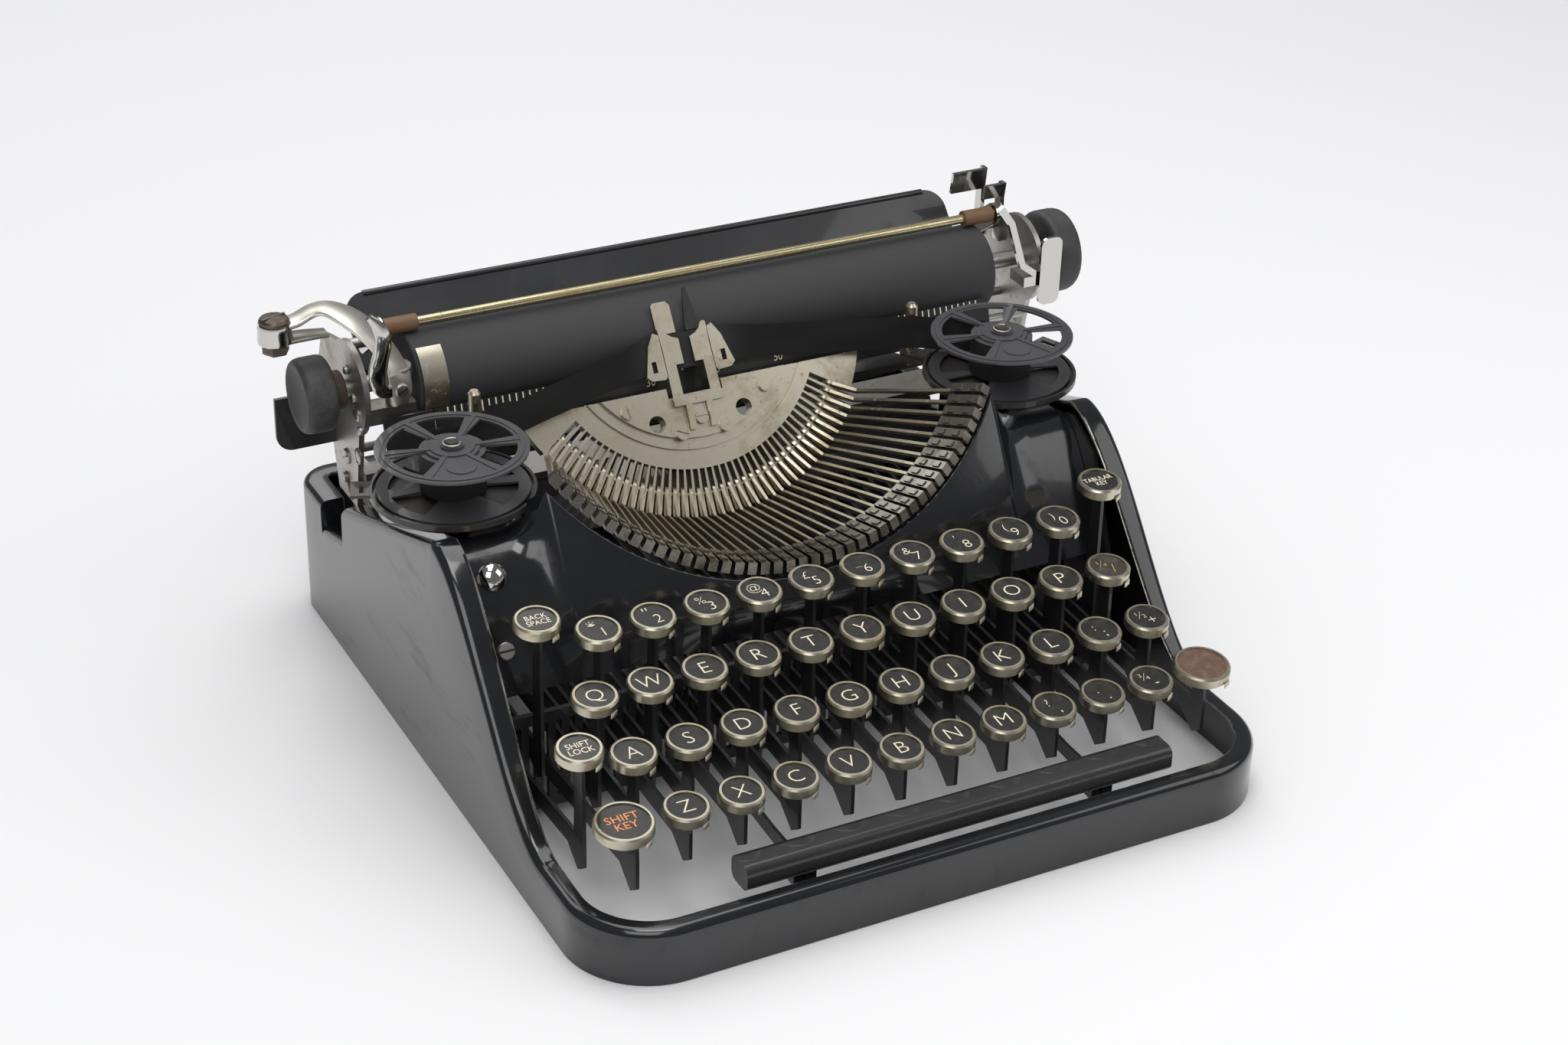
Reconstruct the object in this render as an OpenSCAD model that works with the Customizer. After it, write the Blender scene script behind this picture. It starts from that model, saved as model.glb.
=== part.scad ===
// Portable typewriter with four banks of round keys, a slanted type segment,
// open ribbon spools and a sliding carriage that lifts for capitals.
// Machine frame: X to the right, Y to the back from the front rail, Z up from the table.

/* [Casing] */
// Width across the two side panels
body_w = 250; // [246:1:260]
// Distance from the platen axis to the rear wall
rear_room = 45; // [44:1:56]
// Thickness of the pressed sheet
wall = 1.5; // [1:0.1:1.8]
// Height of the front rail
rail_h = 20; // [18:1:23]
// Height of the shoulder beside the type basket
shoulder_h = 92; // [88:1:94]
// Height of the rear end of the side panels
rear_h = 52; // [48:1:52]
// Plan radius of the front corners
corner_r = 29; // [22:1:34]
// Plan radius of the rear corners
rear_r = 12; // [11:1:16]
// Radius of the rolled top edge
roll_r = 3; // [2:0.5:4]
// Width of the top band along the side panels
band = 9; // [8:0.5:9]

/* [Keyboard] */
// Distance between neighbouring keys
pitch = 19.05; // [18.5:0.05:19.5]
// Distance of the front bank from the front rail
bank_y = 33.5; // [33:0.5:36]
// Height of the front bank's key tops
bank_z = 38.9; // [38:0.1:41]
// Step back from bank to bank
step_y = 18.24; // [17.5:0.02:18.5]
// Step up from bank to bank
step_z = 11.58; // [10:0.02:12]
// Distance from the rear bank to the foot of the front panel
panel_lead = 14.78; // [14:0.02:18]
// Outer radius of a key ring
ring_r = 7.6; // [7:0.1:8]
// Outer radius of a shift key ring
shift_ring_r = 9.7; // [9:0.1:10]
// Height of a key ring
ring_h = 4; // [3:0.1:4.4]
// Lean of the key tops towards the typist, in degrees
lean = 6; // [0:1:8]
// Thickness of a key lever
lever_t = 1.2; // [1:0.1:1.5]
// Depth of a key lever
lever_d = 7; // [6:0.5:8]
// Radius of the rod that the key levers turn on
fulcrum_r = 2; // [1.5:0.1:2.4]
// Length of the space bar
space_w = 156; // [150:1:164]

/* [Type basket] */
// Slant of the segment from the horizontal, in degrees
slant = 56; // [55:0.5:57]
// Outer radius of the segment
segment_r = 71; // [70:0.5:73]
// Radius of the arc of typebar pivots
pivot_arc_r = 63; // [62:0.5:64]
// Typebar thickness
bar_t = 1.1; // [0.9:0.1:1.2]
// Number of typebars
bars = 42; // [36:2:42]
// Angle between neighbouring typebars, in degrees
bar_pitch = 2.8; // [2.7:0.05:2.9]
// Angle of a resting typebar above the segment face, in degrees
bar_rest = 66; // [65:0.5:67]
// Radius of the arc of the panel's lip
lip_r = 100; // [99.5:0.5:101]

/* [Ribbon] */
// Distance of each spool from the middle
spool_x = 105; // [103:0.5:106]
// Distance of the spools in front of the platen axis
spool_lead = 63; // [62:0.5:65]
// Radius of a spool flange
spool_r = 25.4; // [24:0.1:26]
// Radius of the wound ribbon
wound_r = 11; // [10.5:0.5:16]
// Width of the ribbon
ribbon_w = 12.7; // [12:0.1:13]
// Underside of the lower spool flange
spool_z = 92.6; // [91:0.1:94]

/* [Carriage] */
// Offset of the carriage to the right of the middle
carriage_x = 17; // [0:1:20]
// Radius of the platen
platen_r = 15.9; // [15:0.1:16.5]
// Length of the platen
platen_l = 229; // [220:1:230]
// Distance from the foot of the front panel to the platen axis
basket_lead = 121; // [120:0.5:123]
// Height of the platen axis
platen_z = 103.5; // [102:0.5:105]
// Radius of the platen shaft
shaft_r = 3; // [2.5:0.1:3.5]
// Radius of the left platen knob
knob_r = 13.3; // [12:0.1:14]
// Radius of the right platen knob
right_knob_r = 16; // [13:0.5:16.5]
// Length of a platen knob
knob_l = 16; // [13:0.5:18]
// Distance from the end of the platen to an end plate
end_room = 18.5; // [18:0.5:21]
// Radius of the paper bail rod
bail_r = 1.7; // [1.5:0.1:2]

/* [Fits] */
// Running clearance of a shaft in its bore
run_fit = 0.06; // [0.03:0.01:0.09]
// Side clearance of sliding and swinging pieces
side_gap = 0.4; // [0.3:0.05:0.6]
// Seat clearance between fixed pieces
seat_gap = 0.2; // [0.1:0.05:0.3]
// Clearance of a pressed or riveted seat
rivet_gap = 0.05; // [0.03:0.01:0.08]

/* [Hidden] */
$fn = 48;
half_w = body_w / 2;
// Depth chain from the front bank to the rear wall
function row_y(b) = bank_y + (3 - b) * step_y;
function row_z(b) = bank_z + (3 - b) * step_z;
panel_y = row_y(0) + panel_lead;
platen_y = panel_y + basket_lead;
spool_y = platen_y - spool_lead;
body_d = platen_y + rear_room;
end_x = platen_l / 2 + end_room;
// Side plates of the inner frame, just inside the band
plate_t = 2;
plate_x = half_w - band - seat_gap - 0.2;
frame_top_drop = 3;
// Plan of the rolled rail and the side profile
rise_start = bank_y + 12.5;
rise_end = panel_y + 29;
crest_y = panel_y + 33;
fall_slope = 0.362;
rail_band = 6.5;
notch_y = [platen_y - 5.5, platen_y + 16.5];
notch_z = [48, 42];
notch_edge = 0.3;

// Fulcrum rod of the key levers and cross shaft of the shift keys
fulcrum = [platen_y + 8, 33];
boss_r = 5;
lever_front_z = 27;
shift_axis = [platen_y - 28, 14];
shift_shaft_r = 2.5;
shift_front_z = 23;
shift_key_y = 31.5;
shift_key_z = 41;
shift_boss_r = 5.5;

// Key names and their places in pitches from the left end of the second bank
bank_names = [
    ["key_1", "key_2", "key_3", "key_4", "key_5", "key_6", "key_7", "key_8", "key_9", "key_0"],
    ["key_q", "key_w", "key_e", "key_r", "key_t", "key_y", "key_u", "key_i", "key_o", "key_p", "key_cent"],
    ["key_a", "key_s", "key_d", "key_f", "key_g", "key_h", "key_j", "key_k", "key_l", "key_colon", "key_half"],
    ["key_z", "key_x", "key_c", "key_v", "key_b", "key_n", "key_m", "key_comma", "key_stop", "key_slash"]
];
bank_first = [0.5, 0, 0.25, 0.75];
keyboard_mid = 5;
char_keys = [
    for (b = [0 : 3]) for (i = [0 : len(bank_names[b]) - 1]) [bank_names[b][i], b, bank_first[b] + i]
];
function key_x(place) = (place - keyboard_mid) * pitch;
back_place = -0.5;
tab_place = 10.5;
lock_place = -0.75;
left_shift_place = -0.25;
right_shift_place = 10.75;
back_lift = 6;
tab_lift = 8;
back_shift_y = 4.5;
lock_y = 49.8;
lock_z = 58.7;
left_shift_side = -3;
space_places = [2.375, 8.125];
space_mid = 6;
space_d = 11;
space_h = 9;
space_y = 9;
space_top = 27.5;

// Key comb across the front of the frame
comb_y = panel_y - 4.5;
comb_t = 2;
comb_z = [3, 40];
comb_slot_z = [7, 36];
comb_places = concat(
    [for (k = char_keys) k[2]], space_places,
    [back_place, tab_place, lock_place, left_shift_place, right_shift_place]
);

// Print point, on the platen's upper front, is the middle of the pivot arc
print_y = platen_y - platen_r * sin(slant);
print_z = platen_z + platen_r * cos(slant);
segment_t = 4;
segment_top = -24;
bar_line = 5;
bar_depth = 1.9;
pivot_h = -1.2;
wire_r = 0.9;
hub_r = 2.6;
slug_w = 3.2;
slug_l = 14;
slug_face = 1.5;
slug_h = 4;
slot_in = 54;
slot_w = bar_t + 2 * side_gap;
swing = 180 - bar_rest;
live_bar = bars / 2;
function bar_angle(i) = (i - (bars - 1) / 2) * bar_pitch;

// Front panel
panel_t = 1.4;
panel_x = plate_x - seat_gap;
panel_z = 46;
panel_slope = 1.57;
ledge_z = 86.5;
ledge_back = spool_y - 11;
tip_x = 84;
swoop = 14;
lip_d = 58;
lip_roll = 2.4;

// Spools and cups
flange_t = 0.8;
spool_h = ribbon_w + 2 * flange_t + 1;
post_r = 2;
cup_r = 27.6;
cup_z = spool_z - 2.3;
windows = 6;

// Vibrator lift along the platen's tangent
vib_z = [1.7, 2.7];

// Carriage
bed_y = [platen_y - 2.5, platen_y + 13.5];
bed_z = [53.3, 56.3];
rail_y = [platen_y - 1, platen_y + 12];
rail_w = 4;
rail_z = [46, 53];
end_t = 2;
tie_z = 70;
bail_axis = [platen_y + 19, 110];
paper_top = [body_d - 4, 118.4];
paper_foot = [platen_y + 19, 95];

enamel = [0.02, 0.02, 0.025];
nickel = [0.72, 0.7, 0.65];
brass = [0.7, 0.6, 0.35];
rubber = [0.13, 0.13, 0.13];
steel = [0.5, 0.5, 0.5];

key_nodes = [for (k = char_keys) k[0]];

// Side profile of the casing: rail, swept rise, shoulder, fall, rear flat and the carriage notch
function smooth(t) = let (c = max(0, min(1, t))) c * c * (3 - 2 * c);
function rise(y) = rail_h + (shoulder_h - rail_h) * smooth((y - rise_start) / (rise_end - rise_start));
function fall(y) = max(rear_h, shoulder_h - 2 - fall_slope * (y - crest_y));
function side_h(y) = min(rise(y), fall(y));
function notch_h(y) = notch_z[0] + (notch_z[1] - notch_z[0]) * (y - notch_y[0]) / (notch_y[1] - notch_y[0]);
function in_notch(y) = y > notch_y[0] - notch_edge / 2 && y < notch_y[1] + notch_edge / 2;
function edge_h(y) = in_notch(y) ? notch_h(y) : side_h(y);
function edge_band(y) = rail_band + (band - rail_band) * smooth((y - corner_r) / (rise_end - corner_r));

// Half of the casing's plan, from the middle of the rail to the middle of the rear wall
front_arc = 10;
rear_arc = 5;
side_steps = 22;
side_ys = concat(
    [for (i = [1 : side_steps]) corner_r + (crest_y - corner_r) * i / side_steps],
    [for (i = [1 : 6]) crest_y + (notch_y[0] - notch_edge - crest_y) * i / 6],
    [notch_y[0], notch_y[1], notch_y[1] + notch_edge]
);
half_plan = concat(
    [[0, 0, 0, -1]],
    [for (i = [0 : front_arc]) let (a = 90 * i / front_arc)
        [half_w - corner_r + corner_r * sin(a), corner_r - corner_r * cos(a), sin(a), -cos(a)]],
    [for (y = side_ys) [half_w, y, 1, 0]],
    [for (i = [0 : rear_arc]) let (a = 90 * i / rear_arc)
        [half_w - rear_r + rear_r * cos(a), body_d - rear_r + rear_r * sin(a), cos(a), sin(a)]],
    [[0, body_d, 0, 1]]
);
plan_n = len(half_plan);
plan = concat(half_plan, [for (i = [plan_n - 2 : -1 : 1])
    [-half_plan[i][0], half_plan[i][1], -half_plan[i][2], half_plan[i][3]]]);
function section(h, b) = concat(
    [[0, 0], [0, h - roll_r]],
    [for (a = [30, 60, 90]) [roll_r * (1 - cos(a)), h - roll_r + roll_r * sin(a)]],
    [[b, h], [b, h - wall], [wall, h - wall], [wall, 0]]
);

// Closed skin over rings of points, each ring with the same number of points
function loft_faces(n, m) = [
    for (i = [0 : n - 1]) for (j = [0 : m - 1])
        let (a = i * m + j, b = i * m + (j + 1) % m)
        let (c = ((i + 1) % n) * m + (j + 1) % m, d = ((i + 1) % n) * m + j)
        each [[a, b, c], [a, c, d]]
];

module casing() {
    rings = [for (p = plan) [for (s = section(edge_h(p[1]), edge_band(p[1])))
        [p[0] - p[2] * s[0], p[1] - p[3] * s[0], s[1]]]];
    points = [for (r = rings) each r];
    color(enamel) polyhedron(points, loft_faces(len(rings), len(rings[0])), convexity = 8);
}

// Shape in the Y-Z plane made into a plate of thickness t about the plane X = x
module yz_plate(x, t) {
    translate([x, 0, 0]) rotate([90, 0, 90]) linear_extrude(t, center = true) children();
}

// Bar along X with a shape in the Y-Z plane
module x_bar(x0, x1) {
    yz_plate((x0 + x1) / 2, x1 - x0) children();
}

module x_rod(x0, x1, y, z, r) {
    translate([x0, y, z]) rotate([0, 90, 0]) cylinder(r = r, h = x1 - x0);
}

module round_rect(w, h, r) {
    translate([-w / 2 + r, -h / 2]) square([w - 2 * r, h]);
    translate([-w / 2, -h / 2 + r]) square([w, h - 2 * r]);
    for (sx = [-1, 1]) for (sy = [-1, 1])
        translate([sx * (w / 2 - r), sy * (h / 2 - r)]) circle(r);
}

// Frame of the slanted segment: X across, Y up the slant, Z out of its face
module basket_frame() {
    translate([0, print_y, print_z]) rotate([slant, 0, 0]) children();
}
function from_basket(y, z) = [
    print_y + y * cos(slant) - z * sin(slant),
    print_z + y * sin(slant) + z * cos(slant)
];

// Front panel: each column runs up the slope, over the crest and back to the ledge
function lip_drop(x) = sqrt(lip_r * lip_r - x * x);
function lip_point(x) = from_basket(-lip_drop(x), lip_d);
tip = lip_point(tip_x);
ledge_start = tip_x + swoop;
function swoop_z(x) = let (t = max(0, min(1, (ledge_start - x) / swoop))) ledge_z + (tip[1] - ledge_z) * t * t;
function crest(x) = x < tip_x ? lip_point(x)
    : let (t = smooth((x - tip_x) / swoop)) [tip[0] + (panel_y + (ledge_z - panel_z) / panel_slope - tip[0]) * t, swoop_z(x)];
function back_y(x) = let (t = smooth((x - tip_x) / 4)) crest(x)[0] + lip_roll + (ledge_back - crest(x)[0] - lip_roll) * t;
function back_z(x) = let (t = smooth((x - tip_x) / 4)) (crest(x)[1] - lip_roll) * (1 - t) + (ledge_z - 1.2) * t;
function column(x) = let (c = crest(x), by = back_y(x), bz = back_z(x)) concat(
    [for (i = [0 : 4]) let (t = i / 4) [
        panel_y + (c[0] - panel_y) * t - 1.6 * sin(180 * t),
        panel_z + (c[1] - panel_z) * t
    ]],
    [
        [c[0] + 0.7, c[1] + 0.75],
        [c[0] + 1.8, c[1] + 0.6],
        [c[0] + 1.8 + (by - c[0] - 1.8) * 0.35, c[1] + (bz - c[1]) * 0.6],
        [by, bz]
    ]
);
// Points of the inside skin, one sheet thickness behind the outer skin
function unit(v) = v / norm(v);
function inside(col) = [for (i = [0 : len(col) - 1])
    let (a = col[max(0, i - 1)], b = col[min(len(col) - 1, i + 1)])
    let (d = unit([b[0] - a[0], b[1] - a[1]])) [col[i][0] + panel_t * d[1], col[i][1] - panel_t * d[0]]];
panel_half = concat(
    [for (i = [0 : 12]) tip_x * i / 12],
    [for (i = [1 : 7]) tip_x + swoop * i / 7],
    [for (i = [1 : 2]) ledge_start + (panel_x - ledge_start) * i / 2]
);
panel_cols = concat([for (i = [len(panel_half) - 1 : -1 : 1]) -panel_half[i]], panel_half);

// Closed skin over rings that starts and ends with a flat end
function tube_faces(n, m) = concat(
    [for (i = [0 : n - 2]) for (j = [0 : m - 1])
        let (a = i * m + j, b = i * m + (j + 1) % m)
        let (c = (i + 1) * m + (j + 1) % m, d = (i + 1) * m + j)
        each [[a, b, c], [a, c, d]]],
    [for (j = [0 : m / 2 - 2]) each [[j, m - 1 - j, m - 2 - j], [j, m - 2 - j, j + 1]]],
    [for (j = [0 : m / 2 - 2]) let (o = (n - 1) * m)
        each [[o + j, o + m - 2 - j, o + m - 1 - j], [o + j, o + j + 1, o + m - 2 - j]]]
);

module dome_button(x, y) {
    z = panel_z + (y - panel_y) * panel_slope;
    translate([x, y + 0.8, z]) rotate([atan(panel_slope), 0, 0]) {
        cylinder(r = 4.6, h = 2.2);
        translate([0, 0, 2.2]) intersection() {
            translate([0, 0, -3]) sphere(r = 5);
            cylinder(r = 4, h = 3);
        }
    }
}

module slot_screw(r, h) {
    difference() {
        cylinder(r = r, h = h);
        translate([-r - 1, -r * 0.13, h - 0.6]) cube([2 * r + 2, r * 0.26, 1]);
    }
}

module front_panel() {
    rings = [for (x = panel_cols) let (c = column(abs(x)), n = inside(c))
        concat([for (p = c) [x, p[0], p[1]]], [for (i = [len(n) - 1 : -1 : 0]) [x, n[i][0], n[i][1]]])];
    points = [for (r = rings) each r];
    color(enamel) polyhedron(points, tube_faces(len(rings), len(rings[0])), convexity = 8);
    color(nickel) dome_button(-panel_x + 8, panel_y + 21);
    color(steel) translate([-panel_x + 7, panel_y + 8, panel_z + 7 * panel_slope])
        rotate([atan(panel_slope), 0, 0]) slot_screw(3, 3);
}

// Key levers
function lever_z(y) = lever_front_z + (y - bank_y) * (fulcrum[1] - lever_front_z) / (fulcrum[0] - bank_y);
stem_w = 5.4;
stem_in = 1.2;
point_d = 6;

// Arm of a key lever, from its pointed front to the boss on its axis
module lever_arm(axis, bore, boss, y, mid) {
    difference() {
        union() {
            polygon([
                [axis[0], axis[1] + lever_d / 2],
                [axis[0], axis[1] - lever_d / 2],
                [y + 9, mid - lever_d / 2],
                [y + 1, mid - lever_d / 2 - point_d],
                [y - stem_w / 2 - 0.6, mid - lever_d / 2 - point_d / 2],
                [y - stem_w / 2 - 0.6, mid + lever_d / 2],
                [y + stem_w / 2 + 1, mid + lever_d / 2]
            ]);
            translate(axis) circle(boss);
        }
        translate(axis) circle(bore);
    }
}

// Stem on the front of an arm, up into the ring
module lever_stem(y, z, mid) {
    foot = mid + lever_d / 2 + rivet_gap;
    neck = z - ring_h - 0.6;
    polygon([
        [y - stem_w / 2 - 0.6, foot],
        [y - stem_w / 2, neck],
        [y - stem_w / 2, z - ring_h + stem_in],
        [y + stem_w / 2, z - ring_h + stem_in],
        [y + stem_w / 2, neck],
        [y + stem_w / 2 + 1, foot]
    ]);
}

// Ring of a key with the card set below its rim and a slot for the stem at x = stem_x
module key_top(x, y, z, r, stem_x) {
    slot = [lever_t + 2 * rivet_gap, stem_w + 2 * rivet_gap, stem_in + 1 + rivet_gap];
    difference() {
        translate([x, y, z]) rotate([lean, 0, 0]) translate([0, 0, -ring_h]) difference() {
            union() {
                cylinder(r = r - 0.5, h = 0.6);
                translate([0, 0, 0.6]) cylinder(r = r, h = ring_h - 1.2);
                translate([0, 0, ring_h - 0.6]) cylinder(r1 = r, r2 = r - 0.5, h = 0.6);
            }
            translate([0, 0, ring_h - 0.5]) cylinder(r = r - 1.3, h = 1);
        }
        translate([stem_x - slot[0] / 2, y - slot[1] / 2, z - ring_h - 1]) cube(slot);
    }
}

module key_lever(x, y, z) {
    color(enamel) yz_plate(x, lever_t) {
        lever_arm(fulcrum, fulcrum_r + run_fit, boss_r, y, lever_z(y));
        lever_stem(y, z, lever_z(y));
    }
    color(nickel) key_top(x, y, z, ring_r, x);
}

module char_key(k) {
    key_lever(key_x(k[2]), row_y(k[1]), row_z(k[1]));
}

module backspace_key() {
    key_lever(key_x(back_place), row_y(0) + back_shift_y, row_z(0) + back_lift);
}

module tab_key() {
    key_lever(key_x(tab_place), row_y(0) + back_shift_y, row_z(0) + tab_lift);
}

// Shift keys and lock on one cross shaft
module shift_lever(place, side, y, z, r) {
    mid = shift_front_z + (y - shift_key_y) * (shift_axis[1] - shift_front_z) / (shift_axis[0] - shift_key_y);
    color(enamel) yz_plate(key_x(place), lever_t) {
        lever_arm(shift_axis, shift_shaft_r + rivet_gap, shift_boss_r, y, mid);
        lever_stem(y, z, mid);
    }
    color(nickel) key_top(key_x(place) + side, y, z, r, key_x(place));
}

module shift_keys() {
    shift_lever(left_shift_place, left_shift_side, shift_key_y, shift_key_z, shift_ring_r);
    shift_lever(right_shift_place, 0, shift_key_y, shift_key_z, shift_ring_r);
    shift_lever(lock_place, 0, lock_y, lock_z, ring_r);
    color(steel) x_rod(-plate_x - plate_t - 1, plate_x + plate_t + 1, shift_axis[0], shift_axis[1], shift_shaft_r);
}

// Space bar on two long arms, each held in a slot of the bar by a bracket
space_arm_z = space_top - space_h;
space_arm_h = 2.5;

module space_arm(x) {
    front = space_y + space_d / 2 - 3;
    back = space_y + space_d + 14;
    yz_plate(x, lever_t) difference() {
        union() {
            polygon([
                [fulcrum[0], fulcrum[1] + 2],
                [fulcrum[0], fulcrum[1] - 3],
                [back, space_arm_z - space_arm_h],
                [front, space_arm_z - space_arm_h],
                [front, space_arm_z + space_arm_h],
                [back, space_arm_z + space_arm_h]
            ]);
            translate(fulcrum) circle(boss_r);
        }
        translate(fulcrum) circle(fulcrum_r + run_fit);
    }
}

module space_arm_slot(x) {
    w = lever_t + 2 * rivet_gap;
    z = space_arm_z - space_arm_h - rivet_gap;
    translate([x - w / 2, space_y + space_d / 2 - 3 - rivet_gap, z])
        cube([w, space_d + 10, 2 * (space_arm_h + rivet_gap)]);
}

module space_bar() {
    for (p = space_places) color(enamel) space_arm(key_x(p));
    color(enamel) difference() {
        x_bar(space_mid - space_w / 2, space_mid + space_w / 2)
            translate([space_y + space_d / 2, space_top - space_h / 2]) round_rect(space_d, space_h, 3);
        for (p = space_places) space_arm_slot(key_x(p));
    }
    for (p = space_places) color(steel) difference() {
        translate([key_x(p) - 4, space_y + space_d / 2 - 2, space_arm_z - 5])
            cube([8, 4, 5 - rivet_gap]);
        space_arm_slot(key_x(p));
    }
}

// Typebar in the plane of its own swing, drawn at the print point
module bar_shape() {
    difference() {
        union() {
            translate([pivot_arc_r, pivot_h]) circle(hub_r);
            polygon([
                [pivot_arc_r + hub_r * 0.8, pivot_h + hub_r * 0.6],
                [pivot_arc_r - hub_r * 0.9, pivot_h - hub_r * 0.4],
                [pivot_arc_r - 9, bar_line - bar_depth / 2],
                [slug_l / 2 - 1, bar_line - bar_depth / 2],
                [slug_l / 2 - 1, bar_line + bar_depth / 2],
                [pivot_arc_r - 7, bar_line + bar_depth / 2]
            ]);
        }
        translate([pivot_arc_r, pivot_h]) circle(wire_r + run_fit);
    }
}

module bar_place(i, turn) {
    rotate([0, 0, bar_angle(i)]) translate([0, -pivot_arc_r, pivot_h]) rotate([-turn, 0, 0])
        translate([0, pivot_arc_r, -pivot_h]) children();
}

module bar_solid() {
    rotate([90, 0, -90]) linear_extrude(bar_t, center = true) bar_shape();
    translate([-slug_w / 2, -slug_l / 2, slug_face]) cube([slug_w, slug_l, slug_h]);
    for (s = [-1, 1]) translate([-slug_w / 2 + 0.5, s * slug_l * 0.24 - 1.4, slug_face - 0.5])
        cube([slug_w - 1, 2.8, 1]);
}

module typebar() {
    color(nickel) basket_frame() bar_place(live_bar, -swing) bar_solid();
}

module half_disc(r, top) {
    intersection() {
        circle(r);
        translate([-r - 1, -r - 1]) square([2 * r + 2, r + 1 + top]);
    }
}

segment_screws = [[0, -36], [-27, -29.5], [27, -29.5], [-8.5, -40.5], [8.5, -40.5]];
segment_holes = [[-17, -35.7], [17, -35.7]];
segment_notch = [10.6, 3.6];

module segment() {
    difference() {
        union() {
            translate([0, 0, -segment_t]) linear_extrude(segment_t) half_disc(segment_r, segment_top);
            linear_extrude(1.2) half_disc(slot_in - 11, segment_top);
        }
        for (i = [0 : bars - 1]) rotate([0, 0, bar_angle(i)])
            translate([-slot_w / 2, -segment_r - 1, -segment_t - 1])
                cube([slot_w, segment_r + 1 - slot_in, segment_t + 2]);
        translate([0, 0, -0.8]) linear_extrude(2) difference() {
            circle(slot_in - 5);
            circle(slot_in - 7);
        }
        for (p = segment_holes) translate([p[0], p[1], -segment_t - 1]) cylinder(r = 3.1, h = segment_t + 4);
        translate([-segment_notch[0], segment_top - segment_notch[1], -segment_t - 1])
            cube([2 * segment_notch[0], segment_notch[1] + 1, segment_t + 4]);
    }
    for (p = segment_screws) translate([p[0], p[1], 1.2]) rotate([0, 0, p[0] * 3]) slot_screw(2.5, 1);
    translate([0, 0, pivot_h]) rotate([0, 0, -90 - bars * bar_pitch / 2 - 2])
        rotate_extrude(angle = bars * bar_pitch + 4) translate([pivot_arc_r, 0]) circle(wire_r);
}

module type_basket() {
    color(nickel) basket_frame() segment();
    color(nickel) basket_frame() for (i = [0 : bars - 1]) if (i != live_bar) bar_place(i, -swing) bar_solid();
}

// Ribbon spool with windows and ribs in its flanges and the ribbon wound on it
spool_turn = -100;

module spool_window(a) {
    rotate([0, 0, a]) intersection() {
        difference() {
            circle(spool_r - 4);
            circle(9);
        }
        polygon([[0, 0], [spool_r, -spool_r * tan(23)], [spool_r, spool_r * tan(23)]]);
    }
}

module spool_flange() {
    linear_extrude(flange_t) difference() {
        circle(spool_r);
        for (i = [1 : windows - 1]) spool_window(i * 360 / windows);
    }
}

module spool_relief() {
    cylinder(r = 7.4, h = 0.5);
    cylinder(r = 4, h = 1.2);
    translate([14.6, 0, 0]) cylinder(r = 5, h = 0.4);
    for (i = [1 : windows]) rotate([0, 0, (i - 0.5) * 360 / windows])
        translate([7, -0.8, 0]) cube([spool_r - 9.5, 1.6, 0.4]);
    difference() {
        cylinder(r = spool_r - 1.6, h = 0.4);
        translate([0, 0, -1]) cylinder(r = spool_r - 2.8, h = 2);
    }
}

module spool(side) {
    translate([side * spool_x, spool_y, spool_z]) rotate([0, 0, spool_turn]) difference() {
        union() {
            color(steel) spool_flange();
            color(rubber) translate([0, 0, flange_t - 0.1]) cylinder(r = wound_r, h = spool_h - 2 * flange_t + 0.2);
            color(steel) translate([0, 0, spool_h - flange_t]) spool_flange();
            color(steel) translate([0, 0, spool_h - 0.1]) spool_relief();
        }
        translate([0, 0, -1]) cylinder(r = post_r + run_fit, h = spool_h + 4);
    }
}

module left_spool() {
    spool(-1);
}

module right_spool() {
    spool(1);
}

// Spool cup with its post, slotted tab, ribbon guide and bracket to the side plate
guide = [spool_x - 20, spool_y + 30];
guide_r = 2.2;
guide_reach = norm(guide - [spool_x, spool_y]);
guide_angle = atan2(guide[1] - spool_y, guide[0] - spool_x);
cup_foot = 18;

module spool_cup() {
    translate([spool_x, spool_y, cup_z]) {
        rotate_extrude() polygon([
            [0, 0], [cup_r - 1, 0], [cup_r, 1], [cup_r, 3], [cup_r - 1, 3], [cup_r - 1, 1.2], [0, 1.2]
        ]);
        translate([0, 0, 1]) cylinder(r = 5, h = spool_z - cup_z - 1 - side_gap);
        cylinder(r = post_r, h = spool_z - cup_z + spool_h + 2);
        rotate([0, 0, guide_angle]) {
            translate([cup_r - 3, -3.5, 0]) cube([guide_reach - cup_r + 3, 7, 1.2]);
            translate([guide_reach, 0, 0]) cylinder(r = 3.5, h = 1.2);
            translate([guide_reach, 0, 1.2 + rivet_gap]) {
                cylinder(r = guide_r, h = 18);
                translate([0, 0, 18]) cylinder(r1 = guide_r, r2 = guide_r - 0.8, h = 1);
            }
        }
        rotate([0, 0, 22]) difference() {
            translate([cup_r - 0.6, -5, 1.7]) cube([6.6, 10, 1.1]);
            translate([cup_r + 1.2, -3, 0]) cube([2, 6, 4]);
        }
        translate([0, 0, rivet_gap - cup_foot]) cylinder(r = 4, h = cup_foot - 2 * rivet_gap);
    }
    translate([spool_x - 5, spool_y - 6, cup_z - cup_foot - 4])
        cube([plate_x - spool_x + 5 - rivet_gap, 12, 4]);
}

function plate_top(y) = side_h(y) - wall - frame_top_drop;

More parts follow.
